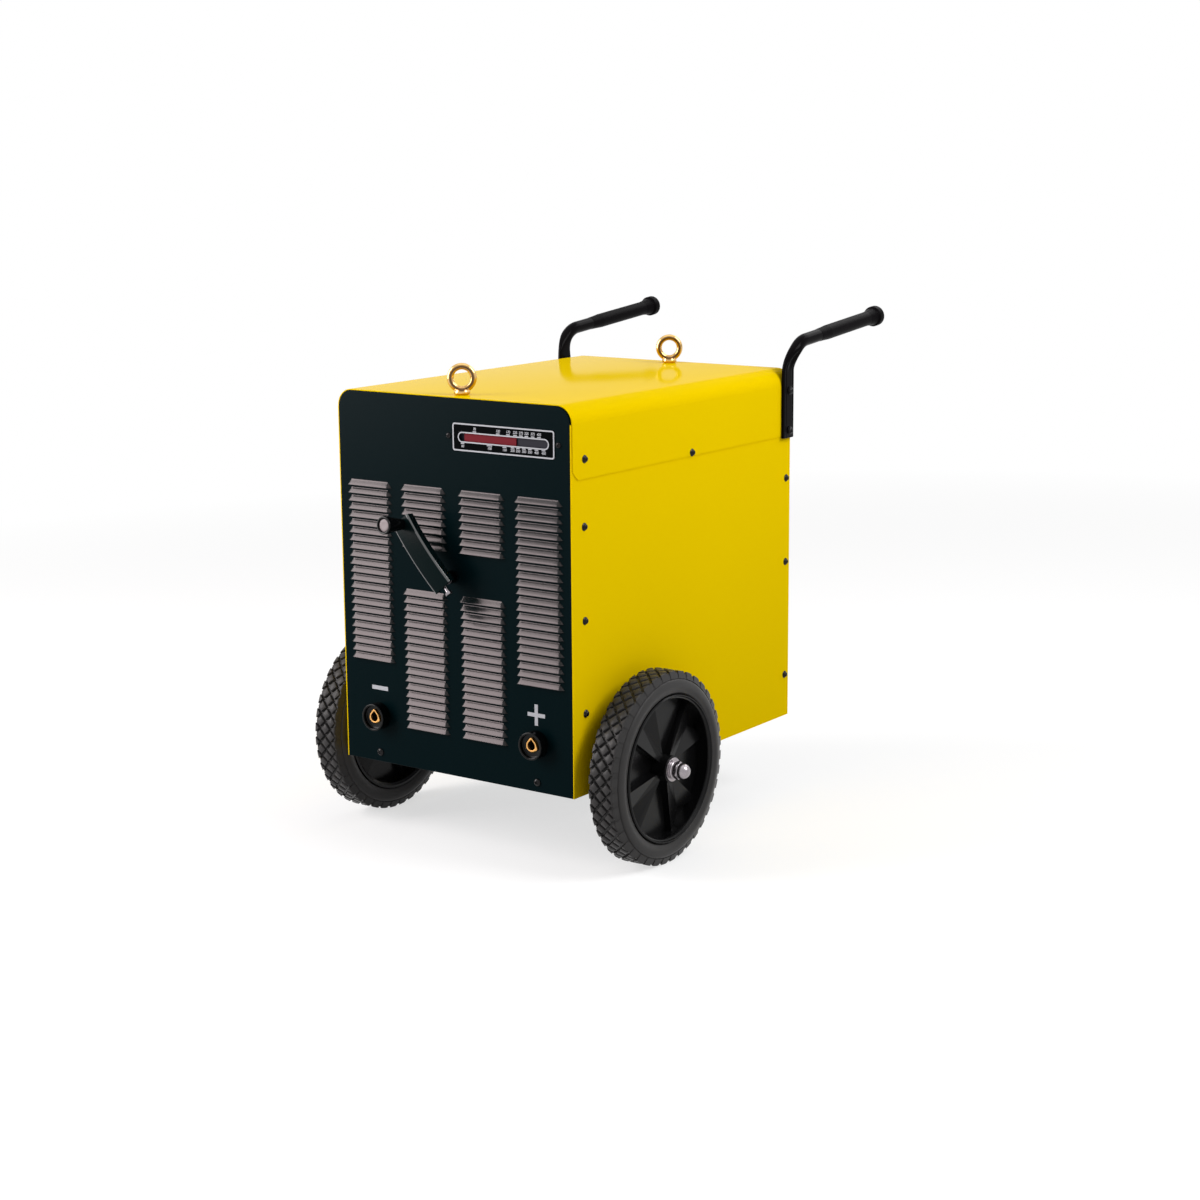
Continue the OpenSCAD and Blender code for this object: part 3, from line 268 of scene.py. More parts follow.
def makeLamps():
    for name, (az, el, distance, size, power, colour) in lamps.items():
        data = bpy.data.lights.new(name, "AREA")
        data.shape = "RECTANGLE"
        data.size, data.size_y = size
        data.energy = power
        data.color = colour
        lamp = bpy.data.objects.new(name, data)
        a, e = math.radians(az), math.radians(el)
        towards = Vector((math.sin(a) * math.cos(e), -math.cos(a) * math.cos(e), math.sin(e)))
        lamp.location = Vector(studio["middle"]) + towards * distance
        lamp.rotation_euler = towards.to_track_quat("Z", "Y").to_euler()
        bpy.context.scene.collection.objects.link(lamp)


def shown(network):      # 1 for what the camera, a reflection or glass sees, else 0
    rays = [network.node("ShaderNodeLightPath", {}, {}, "Is " + kind + " Ray")
            for kind in ("Camera", "Glossy", "Transmission")]
    return rays[0].math("MAXIMUM", rays[1]).math("MAXIMUM", rays[2])


def makeWorld():
    world = bpy.data.worlds.new("studio")
    world.use_nodes = True
    sky = Network(world.node_tree)
    strength = studio["ambient"] + shown(sky) * (1 - studio["ambient"])
    sky.feed(sky.tree.nodes["Background"], {"Color": (1, 1, 1), "Strength": strength})
    bpy.context.scene.world = world


def makeFloor():
    f = Finish("floorPale", Roughness=1.0, Specular_IOR_Level=0.0,
               Base_Color=(studio["albedo"],) * 3, Emission_Color=(1, 1, 1))
    f.wear(Emission_Strength=shown(f) * studio["glow"])
    flat = f.vector("MULTIPLY", f.spot(), (1, 0.8, 0))
    away = f.node("ShaderNodeVectorMath", {"operation": "LENGTH"}, {0: flat}, 1)
    plain = f.node("ShaderNodeEmission", {}, {"Color": (1, 1, 1)})
    blend = f.node("ShaderNodeMixShader", {}, {
        0: away.clamp(studio["near"], studio["far"]), 1: Value(f, f.surface.outputs[0]), 2: plain})
    f.tree.links.new(blend.socket, f.tree.nodes["Material Output"].inputs["Surface"])
    w = studio["floor"]
    mesh = bpy.data.meshes.new("floor")
    mesh.from_pydata([(-w, -w, 0), (w, -w, 0), (w, w, 0), (-w, w, 0)], [], [(0, 1, 2, 3)])
    mesh.materials.append(f.material)
    floor = bpy.data.objects.new("floor", mesh)
    bpy.context.scene.collection.objects.link(floor)


print("camera, lamps and floor")
bpy.context.scene.view_settings.view_transform = "Standard"
makeCamera()
makeLamps()
makeWorld()
makeFloor()


def addPiece(name, mesh, body, slotName, replacing=(), smooth=35, finish=None):
    mesh.materials.clear()
    mesh.materials.append(finishes[finish or slotName])
    mesh.shade_smooth()
    mesh.set_sharp_from_angle(angle=math.radians(smooth))
    piece = bpy.data.objects.new(name, mesh)
    bpy.context.scene.collection.objects.link(piece)
    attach(piece, body)
    if replacing:
        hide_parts(*replacing)
    return piece


def roundEdges(piece, width, angle=30):
    bevel = piece.modifiers.new("edges", "BEVEL")
    bevel.width = width / 1000
    bevel.segments = 2
    bevel.limit_method = "ANGLE"
    bevel.angle_limit = math.radians(angle)
    bevel.use_clamp_overlap = True
    bevel.harden_normals = True


def meshOf(name, build):      # build fills a bmesh on the casing's own axes
    grid = bmesh.new()
    build(grid)
    bmesh.ops.recalc_face_normals(grid, faces=grid.faces)
    for v in grid.verts:
        v.co = place(*v.co)
    mesh = bpy.data.meshes.new(name)
    grid.to_mesh(mesh)
    grid.free()
    return mesh


def meshOfCurve(curve):
    holder = bpy.data.objects.new(curve.name, curve)
    mesh = bpy.data.meshes.new_from_object(holder)
    bpy.data.objects.remove(holder)
    return mesh


def joined(name, meshes):
    grid = bmesh.new()
    for mesh in meshes:
        grid.from_mesh(mesh)
    out = bpy.data.meshes.new(name)
    grid.to_mesh(out)
    grid.free()
    return out


def bridge(grid, a, b, closed=True):      # faces between two rows; a row of one point is a pole
    count = max(len(a), len(b))
    for i in range(count if closed else count - 1):
        j = (i + 1) % count
        if len(a) == 1:
            grid.faces.new((a[0], b[j], b[i]))
        elif len(b) == 1:
            grid.faces.new((a[i], a[j], b[0]))
        else:
            grid.faces.new((a[i], a[j], b[j], b[i]))


def skin(grid, rings, closed=False):      # a body through rings of points, all of one count
    made = [[grid.verts.new(p) for p in ring] for ring in rings]
    for a, b in zip(made, made[1:]):
        bridge(grid, a, b)
    if closed:
        bridge(grid, made[-1], made[0])
    else:
        grid.faces.new(made[0][::-1])
        grid.faces.new(made[-1])


def turned(grid, profile, steps, at, axis):      # revolves (radius, height) pairs round an axis
    ahead = Vector(axis).normalized()
    across = ahead.orthogonal().normalized()
    third = ahead.cross(across)
    closed = profile[0] == profile[-1]
    rows = []
    for r, h in profile[:-1] if closed else profile:
        middle = Vector(at) + ahead * h
        if r == 0:
            rows.append([grid.verts.new(middle)])
            continue
        angles = [2 * math.pi * i / steps for i in range(steps)]
        rows.append([grid.verts.new(middle + (across * math.cos(a) + third * math.sin(a)) * r)
                     for a in angles])
    if closed:
        rows.append(rows[0])
    for a, b in zip(rows, rows[1:]):
        bridge(grid, a, b)


def rounded(points, radius, steps=3):      # a profile with its inner corners rounded
    out = [points[0]]
    for before, here, after in zip(points, points[1:], points[2:]):
        p, a, b = Vector(here), Vector(before), Vector(after)
        start = p + (a - p).normalized() * min(radius, (a - p).length * 0.45)
        end = p + (b - p).normalized() * min(radius, (b - p).length * 0.45)
        for i in range(steps + 1):
            t = i / steps
            q = start * (1 - t) ** 2 + p * 2 * t * (1 - t) + end * t * t
            out.append((q.x, q.y))
    out.append(points[-1])
    return out


def softened(node, width):      # the frame's own form with rounded edges
    source = nodes[node]
    grid = bmesh.new()
    grid.from_mesh(source.data)
    bmesh.ops.remove_doubles(grid, verts=grid.verts, dist=0.00001)
    bmesh.ops.dissolve_limit(grid, angle_limit=math.radians(1), verts=grid.verts, edges=grid.edges)
    mesh = bpy.data.meshes.new(node + "Shown")
    grid.to_mesh(mesh)
    grid.free()
    subparts = frame["record"]["subparts"]
    slotName = next(s["material_slot"] for s in subparts if s["node"] == node)
    piece = addPiece(node + "_shown", mesh, source["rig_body"], slotName, (node,), 30)
    roundEdges(piece, width)


def outlineMesh(name, outlines, y, depth, edge=0.0):      # a flat shape in X and Z with holes
    curve = bpy.data.curves.new(name, "CURVE")
    curve.dimensions = "2D"
    curve.fill_mode = "BOTH"
    curve.extrude = depth / 2 - edge
    curve.bevel_depth = edge
    curve.bevel_resolution = 2
    curve.offset = -edge
    for points in outlines:
        line = curve.splines.new("POLY")
        line.points.add(len(points) - 1)
        for point, (x, z) in zip(line.points, points):
            point.co = (x, z, 0, 1)
        line.use_cyclic_u = True
    mesh = meshOfCurve(curve)
    middle = y + depth / 2
    for v in mesh.vertices:
        v.co = place(v.co.x, middle - v.co.z, v.co.y)
    mesh.name = name
    return mesh


def rectangle(x0, x1, z0, z1):
    return [(x0, z0), (x1, z0), (x1, z1), (x0, z1)]


def roundedRect(x0, x1, z0, z1, r, steps=6):
    points = []
    corners = ((x1 - r, z1 - r), (x0 + r, z1 - r), (x0 + r, z0 + r), (x1 - r, z0 + r))
    for quarter, (cx, cz) in enumerate(corners):
        for i in range(steps + 1):
            a = math.radians(90 * quarter + 90 * i / steps)
            points.append((cx + r * math.cos(a), cz + r * math.sin(a)))
    return points


def ringOutline(x, z, r, steps=32):
    angles = [2 * math.pi * i / steps for i in range(steps)]
    return [(x + r * math.cos(a), z + r * math.sin(a)) for a in angles]


louvres = {
    "columns": ((-163, True), (-56, False), (56, False), (163, True)),      # True for a full one
    "rows": 31, "fullRows": 23, "gap": (8, 13),      # the short columns stop round the crank
    "top": 449, "pitch": 12.5, "start": 0.5, "end": 9.4, "out": 5.5,
    "topHalf": 36.5, "lipHalf": 40, "footHalf": 44.5, "corner": 2.6, "sheet": 1.2,
    "slot": (34, 9.5, 2.5),
    # how far down the hood, and how far out of the panel there
    "bulge": ((0.0, 0.0), (0.06, 0.015), (0.13, 0.06), (0.21, 0.15), (0.3, 0.26), (0.6, 0.61),
              (0.88, 0.93), (0.95, 0.985), (1.0, 1.0)),
}
panel = {
    "halfWidth": 221.85, "height": 586.2, "corner": 25.5, "thick": 2.0, "edge": 0.9,
    "spindleHole": 7.5, "scaleHole": (15, 185, 521, 537, 7.9), "socketHole": 16.3,
}


def louvrePlaces():
    first, last = louvres["gap"]
    for x, full in louvres["columns"]:
        rows = range(louvres["fullRows"]) if full else [*range(first), *range(last, louvres["rows"])]
        for i in rows:
            yield x, louvres["top"] - i * louvres["pitch"]


def makeFrontPanel():
    w, h, r = panel["halfWidth"], panel["height"], panel["corner"]
    arch = [(-w, 0), (w, 0)]
    for cx, start in ((w - r, 0), (r - w, 90)):
        angles = [math.radians(start + a) for a in range(0, 91, 9)]
        arch += [(cx + r * math.cos(a), h - r + r * math.sin(a)) for a in angles]
    half, low, high = louvres["slot"]
    holes = [rectangle(x - half, x + half, z - low, z - high) for x, z in louvrePlaces()]
    holes += [ringOutline(0, crank["height"], panel["spindleHole"]), roundedRect(*panel["scaleHole"])]
    holes += [ringOutline(s * socket["x"], socket["z"], panel["socketHole"]) for s in (-1, 1)]
    plate = outlineMesh("frontPanelPlate", [arch] + holes, 0, panel["thick"], panel["edge"])
    addPiece("front_panel_plate", plate, "casing", "panel_dark", ("front_panel",), 40)

    def hoodRow(t, d):      # half a hood's section, t down the hood and d out of the panel
        foot = louvres["topHalf"] + (louvres["footHalf"] - louvres["topHalf"]) * t
        ridge = louvres["topHalf"] + (louvres["lipHalf"] - louvres["topHalf"]) * t
        front = -louvres["out"] * d - 0.001
        bend = rounded([(foot, 0.0), (ridge, front), (ridge - 12, front)], louvres["corner"], 5)
        half = [(foot + 0.1, 0.25)] + bend
        return [(-x, y) for x, y in half] + half[::-1]

    def hoods(grid):
        for x, z in louvrePlaces():
            rows = []
            for t, d in louvres["bulge"]:
                level = z - louvres["start"] - (louvres["end"] - louvres["start"]) * t
                rows.append([grid.verts.new((x + px, py, level)) for px, py in hoodRow(t, d)])
            for a, b in zip(rows, rows[1:]):
                bridge(grid, a, b, closed=False)
    # the hoods wear the panel paint with a painted sheen
    piece = addPiece("louvre_hoods", meshOf("louvreHoods", hoods), "casing", "panel_dark",
                     ("front_panel",), 30, "louvrePaint")
    sheet = piece.modifiers.new("sheet", "SOLIDIFY")
    sheet.thickness = louvres["sheet"] / 1000
    sheet.offset = -1


scale = {
    "window": (17, 183, 529, 6.25), "frame": (5.1, 194.6, 508.1, 550.0), "line": 2.2, "rim": 1.9,
    "upper": ((47, 70), (91, 120), (110, 170), (123, 225), (134, 275), (144, 325), (155.5, 375),
              (167, 425)),
    "lower": ((24, 60), (75, 100), (103, 150), (118, 200), (128, 250), (139, 300), (150, 350),
              (162, 400), (175, 450)),
    "digit": 5.6, "digitUp": 4.8, "bar": 1.5, "barUp": 2.4, "barHalf": 3.2,
    "wideBars": {100: 4.9, 150: 3.6}, "level": -1.12, "ink": 0.2,
}


def numberMesh(text, x, z, y):
    curve = bpy.data.curves.new("digits", "FONT")
    curve.body = str(text)
    curve.size = scale["digit"]
    curve.shear = 0.12
    curve.align_x, curve.align_y = "CENTER", "CENTER"
    curve.extrude = 0.05
    curve.offset = 0.09
    curve.space_character = 0.92
    mesh = meshOfCurve(curve)
    for v in mesh.vertices:
        v.co = place(x + v.co.x, y - v.co.z, z + v.co.y)
    return mesh


def grown(rect, by):
    x0, x1, z0, z1 = rect
    return x0 - by, x1 + by, z0 - by, z1 + by


def makeScale():
    softened("scale_plate", 0.3)
    y, ink, rim = scale["level"], scale["ink"], scale["rim"]
    x0, x1, middle, half = scale["window"]
    window = (x0, x1, middle - half, middle + half)
    shapes = [
        outlineMesh("frameLine", [roundedRect(*scale["frame"], 4),
                                  roundedRect(*grown(scale["frame"], -scale["line"]), 2.2)], y, ink),
        outlineMesh("windowLine", [roundedRect(*grown(window, rim), half + 1.8, 10),
                                   roundedRect(*window, half - 0.01, 10)], y, ink)]
    bars, numbers = [], []
    for marks, s in ((scale["upper"], 1), (scale["lower"], -1)):
        edge = middle + s * (half + scale["barUp"])
        low = edge if s > 0 else edge - scale["bar"]
        for x, number in marks:
            wide = scale["wideBars"].get(number, scale["barHalf"])
            bars.append(rectangle(x - wide, x + wide, low, low + scale["bar"]))
            numbers.append(numberMesh(number, x, edge + s * scale["digitUp"], y + ink / 2))
    shapes.append(outlineMesh("bars", bars, y, ink))
    addPiece("scale_marks", joined("scaleMarks", shapes + numbers), "casing", "scale_black",
             finish="scaleWhite")


signs = {"minus": (-168.9, -136.4, 116.6, 123.1), "plus": (154.6, 119.7), "half": 16.3, "arm": 3.0,
         "level": -0.16, "ink": 0.2}


def makeSigns():
    (cx, cz), half, s = signs["plus"], signs["half"], signs["arm"]
    quarter = [(-s, -half), (s, -half), (s, -s)]      # the other three follow by turning it
    cross = []
    for _ in range(4):
        cross += [(cx + x, cz + z) for x, z in quarter]
        quarter = [(-z, x) for x, z in quarter]
    shapes = [outlineMesh(name, [outline], signs["level"], signs["ink"])
              for name, outline in (("minus", rectangle(*signs["minus"])), ("plus", cross))]
    addPiece("polarity_signs", joined("signs", shapes), "casing", "panel_dark", finish="scaleWhite")


socket = {
    "x": 154.6, "z": 75, "brass": -14, "bore": 6.9, "tip": 10.2, "ring": 9.3, "lobeWide": 0.34,
    "thick": 4, "edge": 0.5, "lining": (11.0, 3.9, 21),      # painted shade tube in the bore: radius, start behind the face, depth
    "lobes": ((92, 3.2), (-24, 2.4), (204, 0.7)),      # degrees, and how far out
    "collar": ((11.1, 10), (21, 10), (21, 2.2), (16.2, 2.2), (16.2, 0), (21.5, 0), (21.5, -18),
               (18.2, -18), (18, -11.5), (11.1, -11)),
    "back": ((0, 11), (13, 11), (13, 16), (6, 16.2), (6, 34), (0, 34)),
}


def teardrop(x, z, r, tip, steps=40):      # a circle drawn up to a point
    reach = math.degrees(math.acos(r / tip))
    points = [(x, z + tip)]
    for i in range(steps + 1):
        a = math.radians(90 + reach + (360 - 2 * reach) * i / steps)
        points.append((x + r * math.cos(a), z + r * math.sin(a)))
    return points


def makeSocket(side, name):
    x, z, bore, tip = side * socket["x"], socket["z"], socket["bore"], socket["tip"]
    at, inward = (x, 0, z), (0, 1, 0)

    def lobe(a, turn, out):
        away = math.remainder(a - math.radians(turn), 2 * math.pi)
        return out * math.exp(-(away / socket["lobeWide"]) ** 2)

    def collar(grid):
        turned(grid, rounded(socket["collar"], 1.1), 64, at, inward)

    def back(grid):
        turned(grid, socket["back"], 32, at, inward)
    addPiece("socket_collar_" + name + "_shown", meshOf("collar", collar), "casing", "socket_black",
             ("socket_collar_" + name,), 40)
    outline = []
    for degrees in range(0, 360, 5):
        a = math.radians(degrees)
        out = socket["ring"] + sum(lobe(a, *shape) for shape in socket["lobes"])
        outline.append((x + out * math.cos(a), z + out * math.sin(a)))
    face = outlineMesh("insertFace", [outline, teardrop(x, z, bore, tip)], socket["brass"],
                       socket["thick"], socket["edge"])
    # painted shade: a dark tube inside the brass bore, where the deep hole is in shade
    r, start, deep = socket["lining"]
    lining = outlineMesh("boreLining", [ringOutline(x, z, r), teardrop(x, z, bore + 0.1, tip + 0.1)],
                         socket["brass"] + start, deep)
    addPiece("socket_bore_" + name, lining, "casing", "socket_brass", (), 40, "boreShade")
    addPiece("socket_insert_" + name + "_shown", joined("insert", [face, meshOf("insertBack", back)]),
             "casing", "socket_brass", ("socket_insert_" + name,), 40)


crank = {
    "height": 314.5, "lean": 40.2, "bow": 450, "face": 42, "middle": 48.5, "half": 62.5,
    "width": 37, "deep": 13, "sheet": 2.0, "fold": 3.4, "innerFold": 1.2, "edge": 0.35, "knobAt": 55.5,
    "gloss": (3.4, 2.6),      # painted sheen: the paint turns glossy between these distances from the arm's edges, to bring out the folds' highlight
    "hub": ((6.05, 25), (11, 25), (11, 38), (6.05, 38)),
    "collar": ((9.3, 2.6), (10.1, 2.6), (10.1, 16.6), (6.2, 16.6)),
    "knob": ((4.1, 0.5), (8.4, 0.5), (8.6, 3), (9.5, 9), (11, 18), (12.8, 28), (14, 34), (14, 38.2),
             (13.2, 39.9), (11.6, 39.9), (10.6, 39.2), (10.5, 36.4), (9.6, 36.2), (4.1, 36.2)),
    "disc": ((0, 37.6), (4, 37.7), (8, 37.9), (9.2, 37.7), (9.5, 37.0), (9.4, 35.9), (0, 35.9)),
}


def onSpindle(s, t, h):      # along the arm, across it, out of the panel
    a = math.radians(90 + crank["lean"])
    up = s * math.sin(a) + t * math.cos(a)
    return Vector((s * math.cos(a) - t * math.sin(a), -h, crank["height"] + up))


def onArm(angle, t, r):      # on the bowed arm, r from the bow's centre
    along = crank["middle"] + r * math.sin(angle)
    return onSpindle(along, t, crank["face"] - crank["bow"] + r * math.cos(angle))


def makeCrankPaint():      # powder coat, glossier on the arm's two folds: a painted sheen that brings out their highlight
    paint = Finish("crankPaint", IOR=1.12, Coat_Roughness=0.07, Coat_IOR=2.0)
    lean = math.radians(90 + crank["lean"])
    side = Vector((-math.sin(lean), 0, math.cos(lean)))
    across = paint.dot(paint.spot(), tuple(side)) - place(0, 0, crank["height"]).dot(side)
    start, full = ((crank["width"] / 2 - inset) / 1000 for inset in crank["gloss"])
    paint.wear(Base_Color=paint.mix(paint.noise(3.0, 3.0), tint(4, 17, 18), tint(5, 20, 21)),
               Roughness=paint.varied(0.26, 0.1, 14.0, 4.0),
               Normal=paint.bump(paint.noise(420), 0.00002),
               # painted sheen: coat only near the arm's edges
               Coat_Weight=across.math("ABSOLUTE").clamp(start, full))


def makeCrank():
    w, big, sheet, deep = crank["width"] / 2, crank["bow"], crank["sheet"], crank["deep"]
    outer = rounded([(-w, -deep), (-w, 0), (w, 0), (w, -deep)], crank["fold"], 5)
    w -= sheet
    inner = rounded([(w, -deep), (w, -sheet), (-w, -sheet), (-w, -deep)], crank["innerFold"])
    limit = math.asin(crank["half"] / big)
    steps = 16      # each side of the arm's middle
    onAxis = onSpindle(0, 0, 0)
    outward = onSpindle(0, 0, 1) - onAxis
    tilt = math.asin(crank["knobAt"] / big)
    root = onArm(tilt, 0, big)
    ahead = (onArm(tilt, 0, big + 1) - root).normalized()

    def arm(grid):
        angles = [limit * (i / steps - 1) for i in range(2 * steps + 1)]
        skin(grid, [[onArm(a, t, big + r) for t, r in outer + inner] for a in angles])
        turned(grid, rounded(crank["hub"], 0.8), 40, onAxis, outward)

    def knob(grid):
        turned(grid, rounded(crank["knob"], 0.8, 2), 64, root, ahead)

    def disc(grid):
        turned(grid, crank["disc"], 48, root, ahead)

    def collar(grid):
        turned(grid, rounded(crank["collar"], 1.6, 4), 64, onAxis, outward)
    makeCrankPaint()
    piece = addPiece("crank_arm_shown", meshOf("crankArm", arm), "crank", "crank_paint",
                     ("crank_arm",), 35, "crankPaint")
    roundEdges(piece, crank["edge"], 50)
    addPiece("crank_knob_shown", meshOf("crankKnob", knob), "crank_grip", "knob_black",
             ("crank_knob",), 40)
    # the end disc wears the painted reflection of the key lamp
    addPiece("crank_knob_disc", meshOf("knobDisc", disc), "crank_grip", "knob_black", (), 40, "knobCap")
    addPiece("spindle_collar", meshOf("spindleCollar", collar), "crank", "knob_black", (), 40,
             "collarMetal")
    softened("crank_screws", 0.3)


handle = {
    "x": 234, "bend": 50, "rise": 5.5, "run": 243, "bendZ": 584, "footZ": 475, "tube": 21,
    "footX": 228, "flatY": 599.5, "flatWide": 32, "flatThick": 6, "flatSquare": 0.32,
    "dent": 0.9, "crease": 2.4, "groove": 0.13,
    "ribs": (0.3, 0.035), "ribFade": 4,      # place and width over the tube's, gone at this thicker
    "spread": 52,      # degrees of the bend over which the flattened end turns round
    "gripIn": 10.53, "grip": 12.2, "cap": 17.3,
}


def handlePath(turn):
    a = math.radians(turn)
    r = handle["bend"]
    return handle["flatY"] + r * (1 - math.cos(a)), handle["bendZ"] + r * math.sin(a)


def tubeRing(x, y, z, turn, wide, thick, dent, square, steps=96):      # a squashed, creased section
    flat = max(0.0, 1 - (thick - handle["flatThick"]) / handle["ribFade"])
    rib, ribWide = handle["ribs"]
    a = math.radians(turn)
    ring = []
    for i in range(steps):
        u = 2 * math.pi * i / steps
        c, s = math.cos(u), math.sin(u)
        side = math.copysign(abs(s) ** square, s) * wide / 2
        out = math.copysign(abs(c) ** square, c) * thick / 2
        if c > 0:
            groove = math.exp(-(side / (wide * handle["groove"])) ** 2)
            ribs = sum(math.exp(-((side / wide - at) / ribWide) ** 2) for at in (-rib, rib))
            out -= dent * (groove + ribs * flat)
        ring.append((x + out, y + side * math.cos(a), z - side * math.sin(a)))
    return ring


def bentSection(turn):      # x, width, thickness, dent and squareness at a place on the bend
    t = min(turn / handle["spread"], 1.0)
    ease = t * t * (3 - 2 * t)

    def between(start, end):
        return start + (end - start) * ease
    return (between(handle["footX"], handle["x"]), between(handle["flatWide"], handle["tube"]),
            between(handle["flatThick"], handle["tube"]),
            handle["dent"] * (1 - ease) + handle["crease"] * math.sin(math.pi * t) ** 2,
            handle["flatSquare"] + (1 - handle["flatSquare"]) * ease ** 0.6)


def makeHandle(side, name):
    start, end = handle["footZ"], handle["bendZ"]
    last = 90 - handle["rise"]
    steps = 56
    y, z = handlePath(last)
    along = Vector((0, math.sin(math.radians(last)), math.cos(math.radians(last))))

    def tube(grid):
        rings = []
        for level in (start, start + 0.6, start + 30, start + 60, end - 12):
            shrink = 0.8 if level == start else 0
            dent = handle["dent"] if level > start + 1 else 0.4
            rings.append(tubeRing(handle["footX"], handle["flatY"], level, 0,
                                  handle["flatWide"] - shrink, handle["flatThick"] - shrink, dent,
                                  handle["flatSquare"]))
        for i in range(steps + 1):
            turn = last * i / steps
            x, *shape = bentSection(turn)
            rings.append(tubeRing(x, *handlePath(turn), turn, *shape))
        for far in (60, 160, handle["run"] - 4):
            rings.append(tubeRing(handle["x"], y + far * along.y, z + far * along.z, last,
                                  handle["tube"], handle["tube"], 0, 1.0))
        skin(grid, [[(side * px, py, pz) for px, py, pz in ring] for ring in rings])

    def grip(grid):
        run, cap, r = handle["run"] - 0.1, handle["cap"], handle["grip"]
        profile = [(handle["gripIn"], 40), (10.7, 41), (11.3, 56), (r, 70), (r, run - 38),
                   (r + 0.9, run - 30), (14.4, run - 18), (cap - 0.5, run - 15.4), (cap, run - 14.4),
                   (cap, run - 3.4), (cap - 1, run - 1.2), (cap - 3.4, run), (0, run)]
        turned(grid, rounded(profile, 0.9, 2), 64, (side * handle["x"], y, z), along)
    addPiece("handle_tube_" + name + "_shown", meshOf("handleTube", tube), "casing", "handle_black",
             ("handle_tube_" + name,), 60)
    addPiece("grip_" + name + "_shown", meshOf("grip", grip), "casing", "grip_rubber",
             ("grip_" + name,), 40)


eye = {
    "turn": 35, "ring": 17.5, "wire": 5.0, "height": 25.5, "base": 12.3, "neck": 10.4,
    "places": (30, 590), "voxel": 0.5,
    "crown": 17.1,      # radius of the ring's crown, where the plating gets a painted dark reflection
}


def makeEyePlating(across):      # plating with a painted dark reflection along the crown of the ring
    plating = Finish("eyePlating", Metallic=1.0)
    reaches = []
    for y in eye["places"]:
        centre = place(0, y, casing["high"] + eye["height"])
        sideways = plating.dot(plating.spot(), tuple(across)) - centre.dot(across)
        up = plating.dot(plating.spot(), (0, 0, 1)) - centre.z
        reaches.append((sideways * sideways + up * up).math("SQRT"))
    away = (reaches[0].math("MINIMUM", reaches[1]) - eye["crown"] / 1000).math("ABSOLUTE")
    # painted reflection: dark brown near the crown, pale gold away from it
    paintedReflection = away + (plating.noise(120.0, 3.0) - 0.5) * 0.0012
    plating.wear(
        Base_Color=plating.mix(paintedReflection.clamp(0.0008, 0.0034), tint(96, 70, 46), tint(224, 184, 118)),
        Roughness=plating.varied(0.18, 0.12, 60.0, 3.0),
        Normal=plating.bump(plating.noise(900.0, 3.0), 0.000005))


def makeEyes():
    a = math.radians(eye["turn"])
    across = Vector((math.cos(a), math.sin(a), 0))
    facing = Vector((-math.sin(a), math.cos(a), 0))
    base, neck = eye["base"], eye["neck"]
    foot = [(0, 0), (10.2, 0), (neck, 1.0), (base, 2.0), (base, 5.4), (neck, 9.2), (8.4, 10.6),
            (0, 10.8)]
    shank = [(0, -9), (5, -9), (5, 1), (0, 1)]
    around, section = 72, 24

    def wireRing(centre, i):
        u = 2 * math.pi * i / around
        out = across * math.cos(u) + Vector((0, 0, math.sin(u)))
        flat = 1.0 - 0.18 * max(0.0, -math.sin(u)) ** 3
        ring = []
        for k in range(section):
            w = 2 * math.pi * k / section
            ring.append(centre + out * (eye["ring"] + eye["wire"] * math.cos(w))
                        + facing * (eye["wire"] * flat * math.sin(w)))
        return ring

    def forging(grid):
        for y in eye["places"]:
            at = Vector((0, y, casing["high"]))
            centre = at + Vector((0, 0, eye["height"]))
            skin(grid, [wireRing(centre, i) for i in range(around)], closed=True)
            turned(grid, rounded(foot, 0.8, 4), 48, at, (0, 0, 1))
            turned(grid, shank, 32, at, (0, 0, 1))
    holder = bpy.data.objects.new("eyes", meshOf("eyes", forging))
    bpy.context.scene.collection.objects.link(holder)
    remesh = holder.modifiers.new("blend", "REMESH")
    remesh.mode = "VOXEL"
    remesh.voxel_size = eye["voxel"] / 1000
    soften = holder.modifiers.new("soften", "SMOOTH")
    soften.iterations = 2
    soften.factor = 0.5
    depsgraph = bpy.context.evaluated_depsgraph_get()
    blended = bpy.data.meshes.new_from_object(holder.evaluated_get(depsgraph))
    bpy.data.objects.remove(holder)
    makeEyePlating(across)
    addPiece("lifting_eyes", blended, "casing", "yellow_zinc", ("lifting_eye_bolts",), 60, "eyePlating")


screws = {
    "cover": (225, ((31.5, 507.4), (317, 483.4))),      # x, then y and z of each
    "side": (223.5, ((31.5, 407.2), (31.5, 266.3), (31.5, 125.2), (604, 407), (604, 265.6),
                     (604, 71.4))),
    "scale": ((-3.2, 529.5), (201.5, 529.5)), "foot": (155, 15.5),
    "sideHead": (4.5, 3.2), "frontHead": (4.5, 3.0), "footHead": (6.0, 3.6), "boltHead": (5.8, 4.2),
    "washer": ((0, -0.2), (6.2, -0.2), (6.2, 0.5), (4.4, 1.9), (0, 1.9)), "seat": 1.5,
    "boltX": 231, "boltY": 602, "boltZ": (553, 487),
    "boltWasher": ((0, -0.2), (6.8, -0.2), (6.8, 1.0), (0, 1.0)),
    "levels": (0.0, 0.14, 0.22, 0.32, 0.42, 0.5, 0.62, 0.78, 0.9, 0.97, 1.0),      # crown to rim
    "cross": (0.11, 0.52, 0.55),      # half width and reach over the radius, depth over the height
}


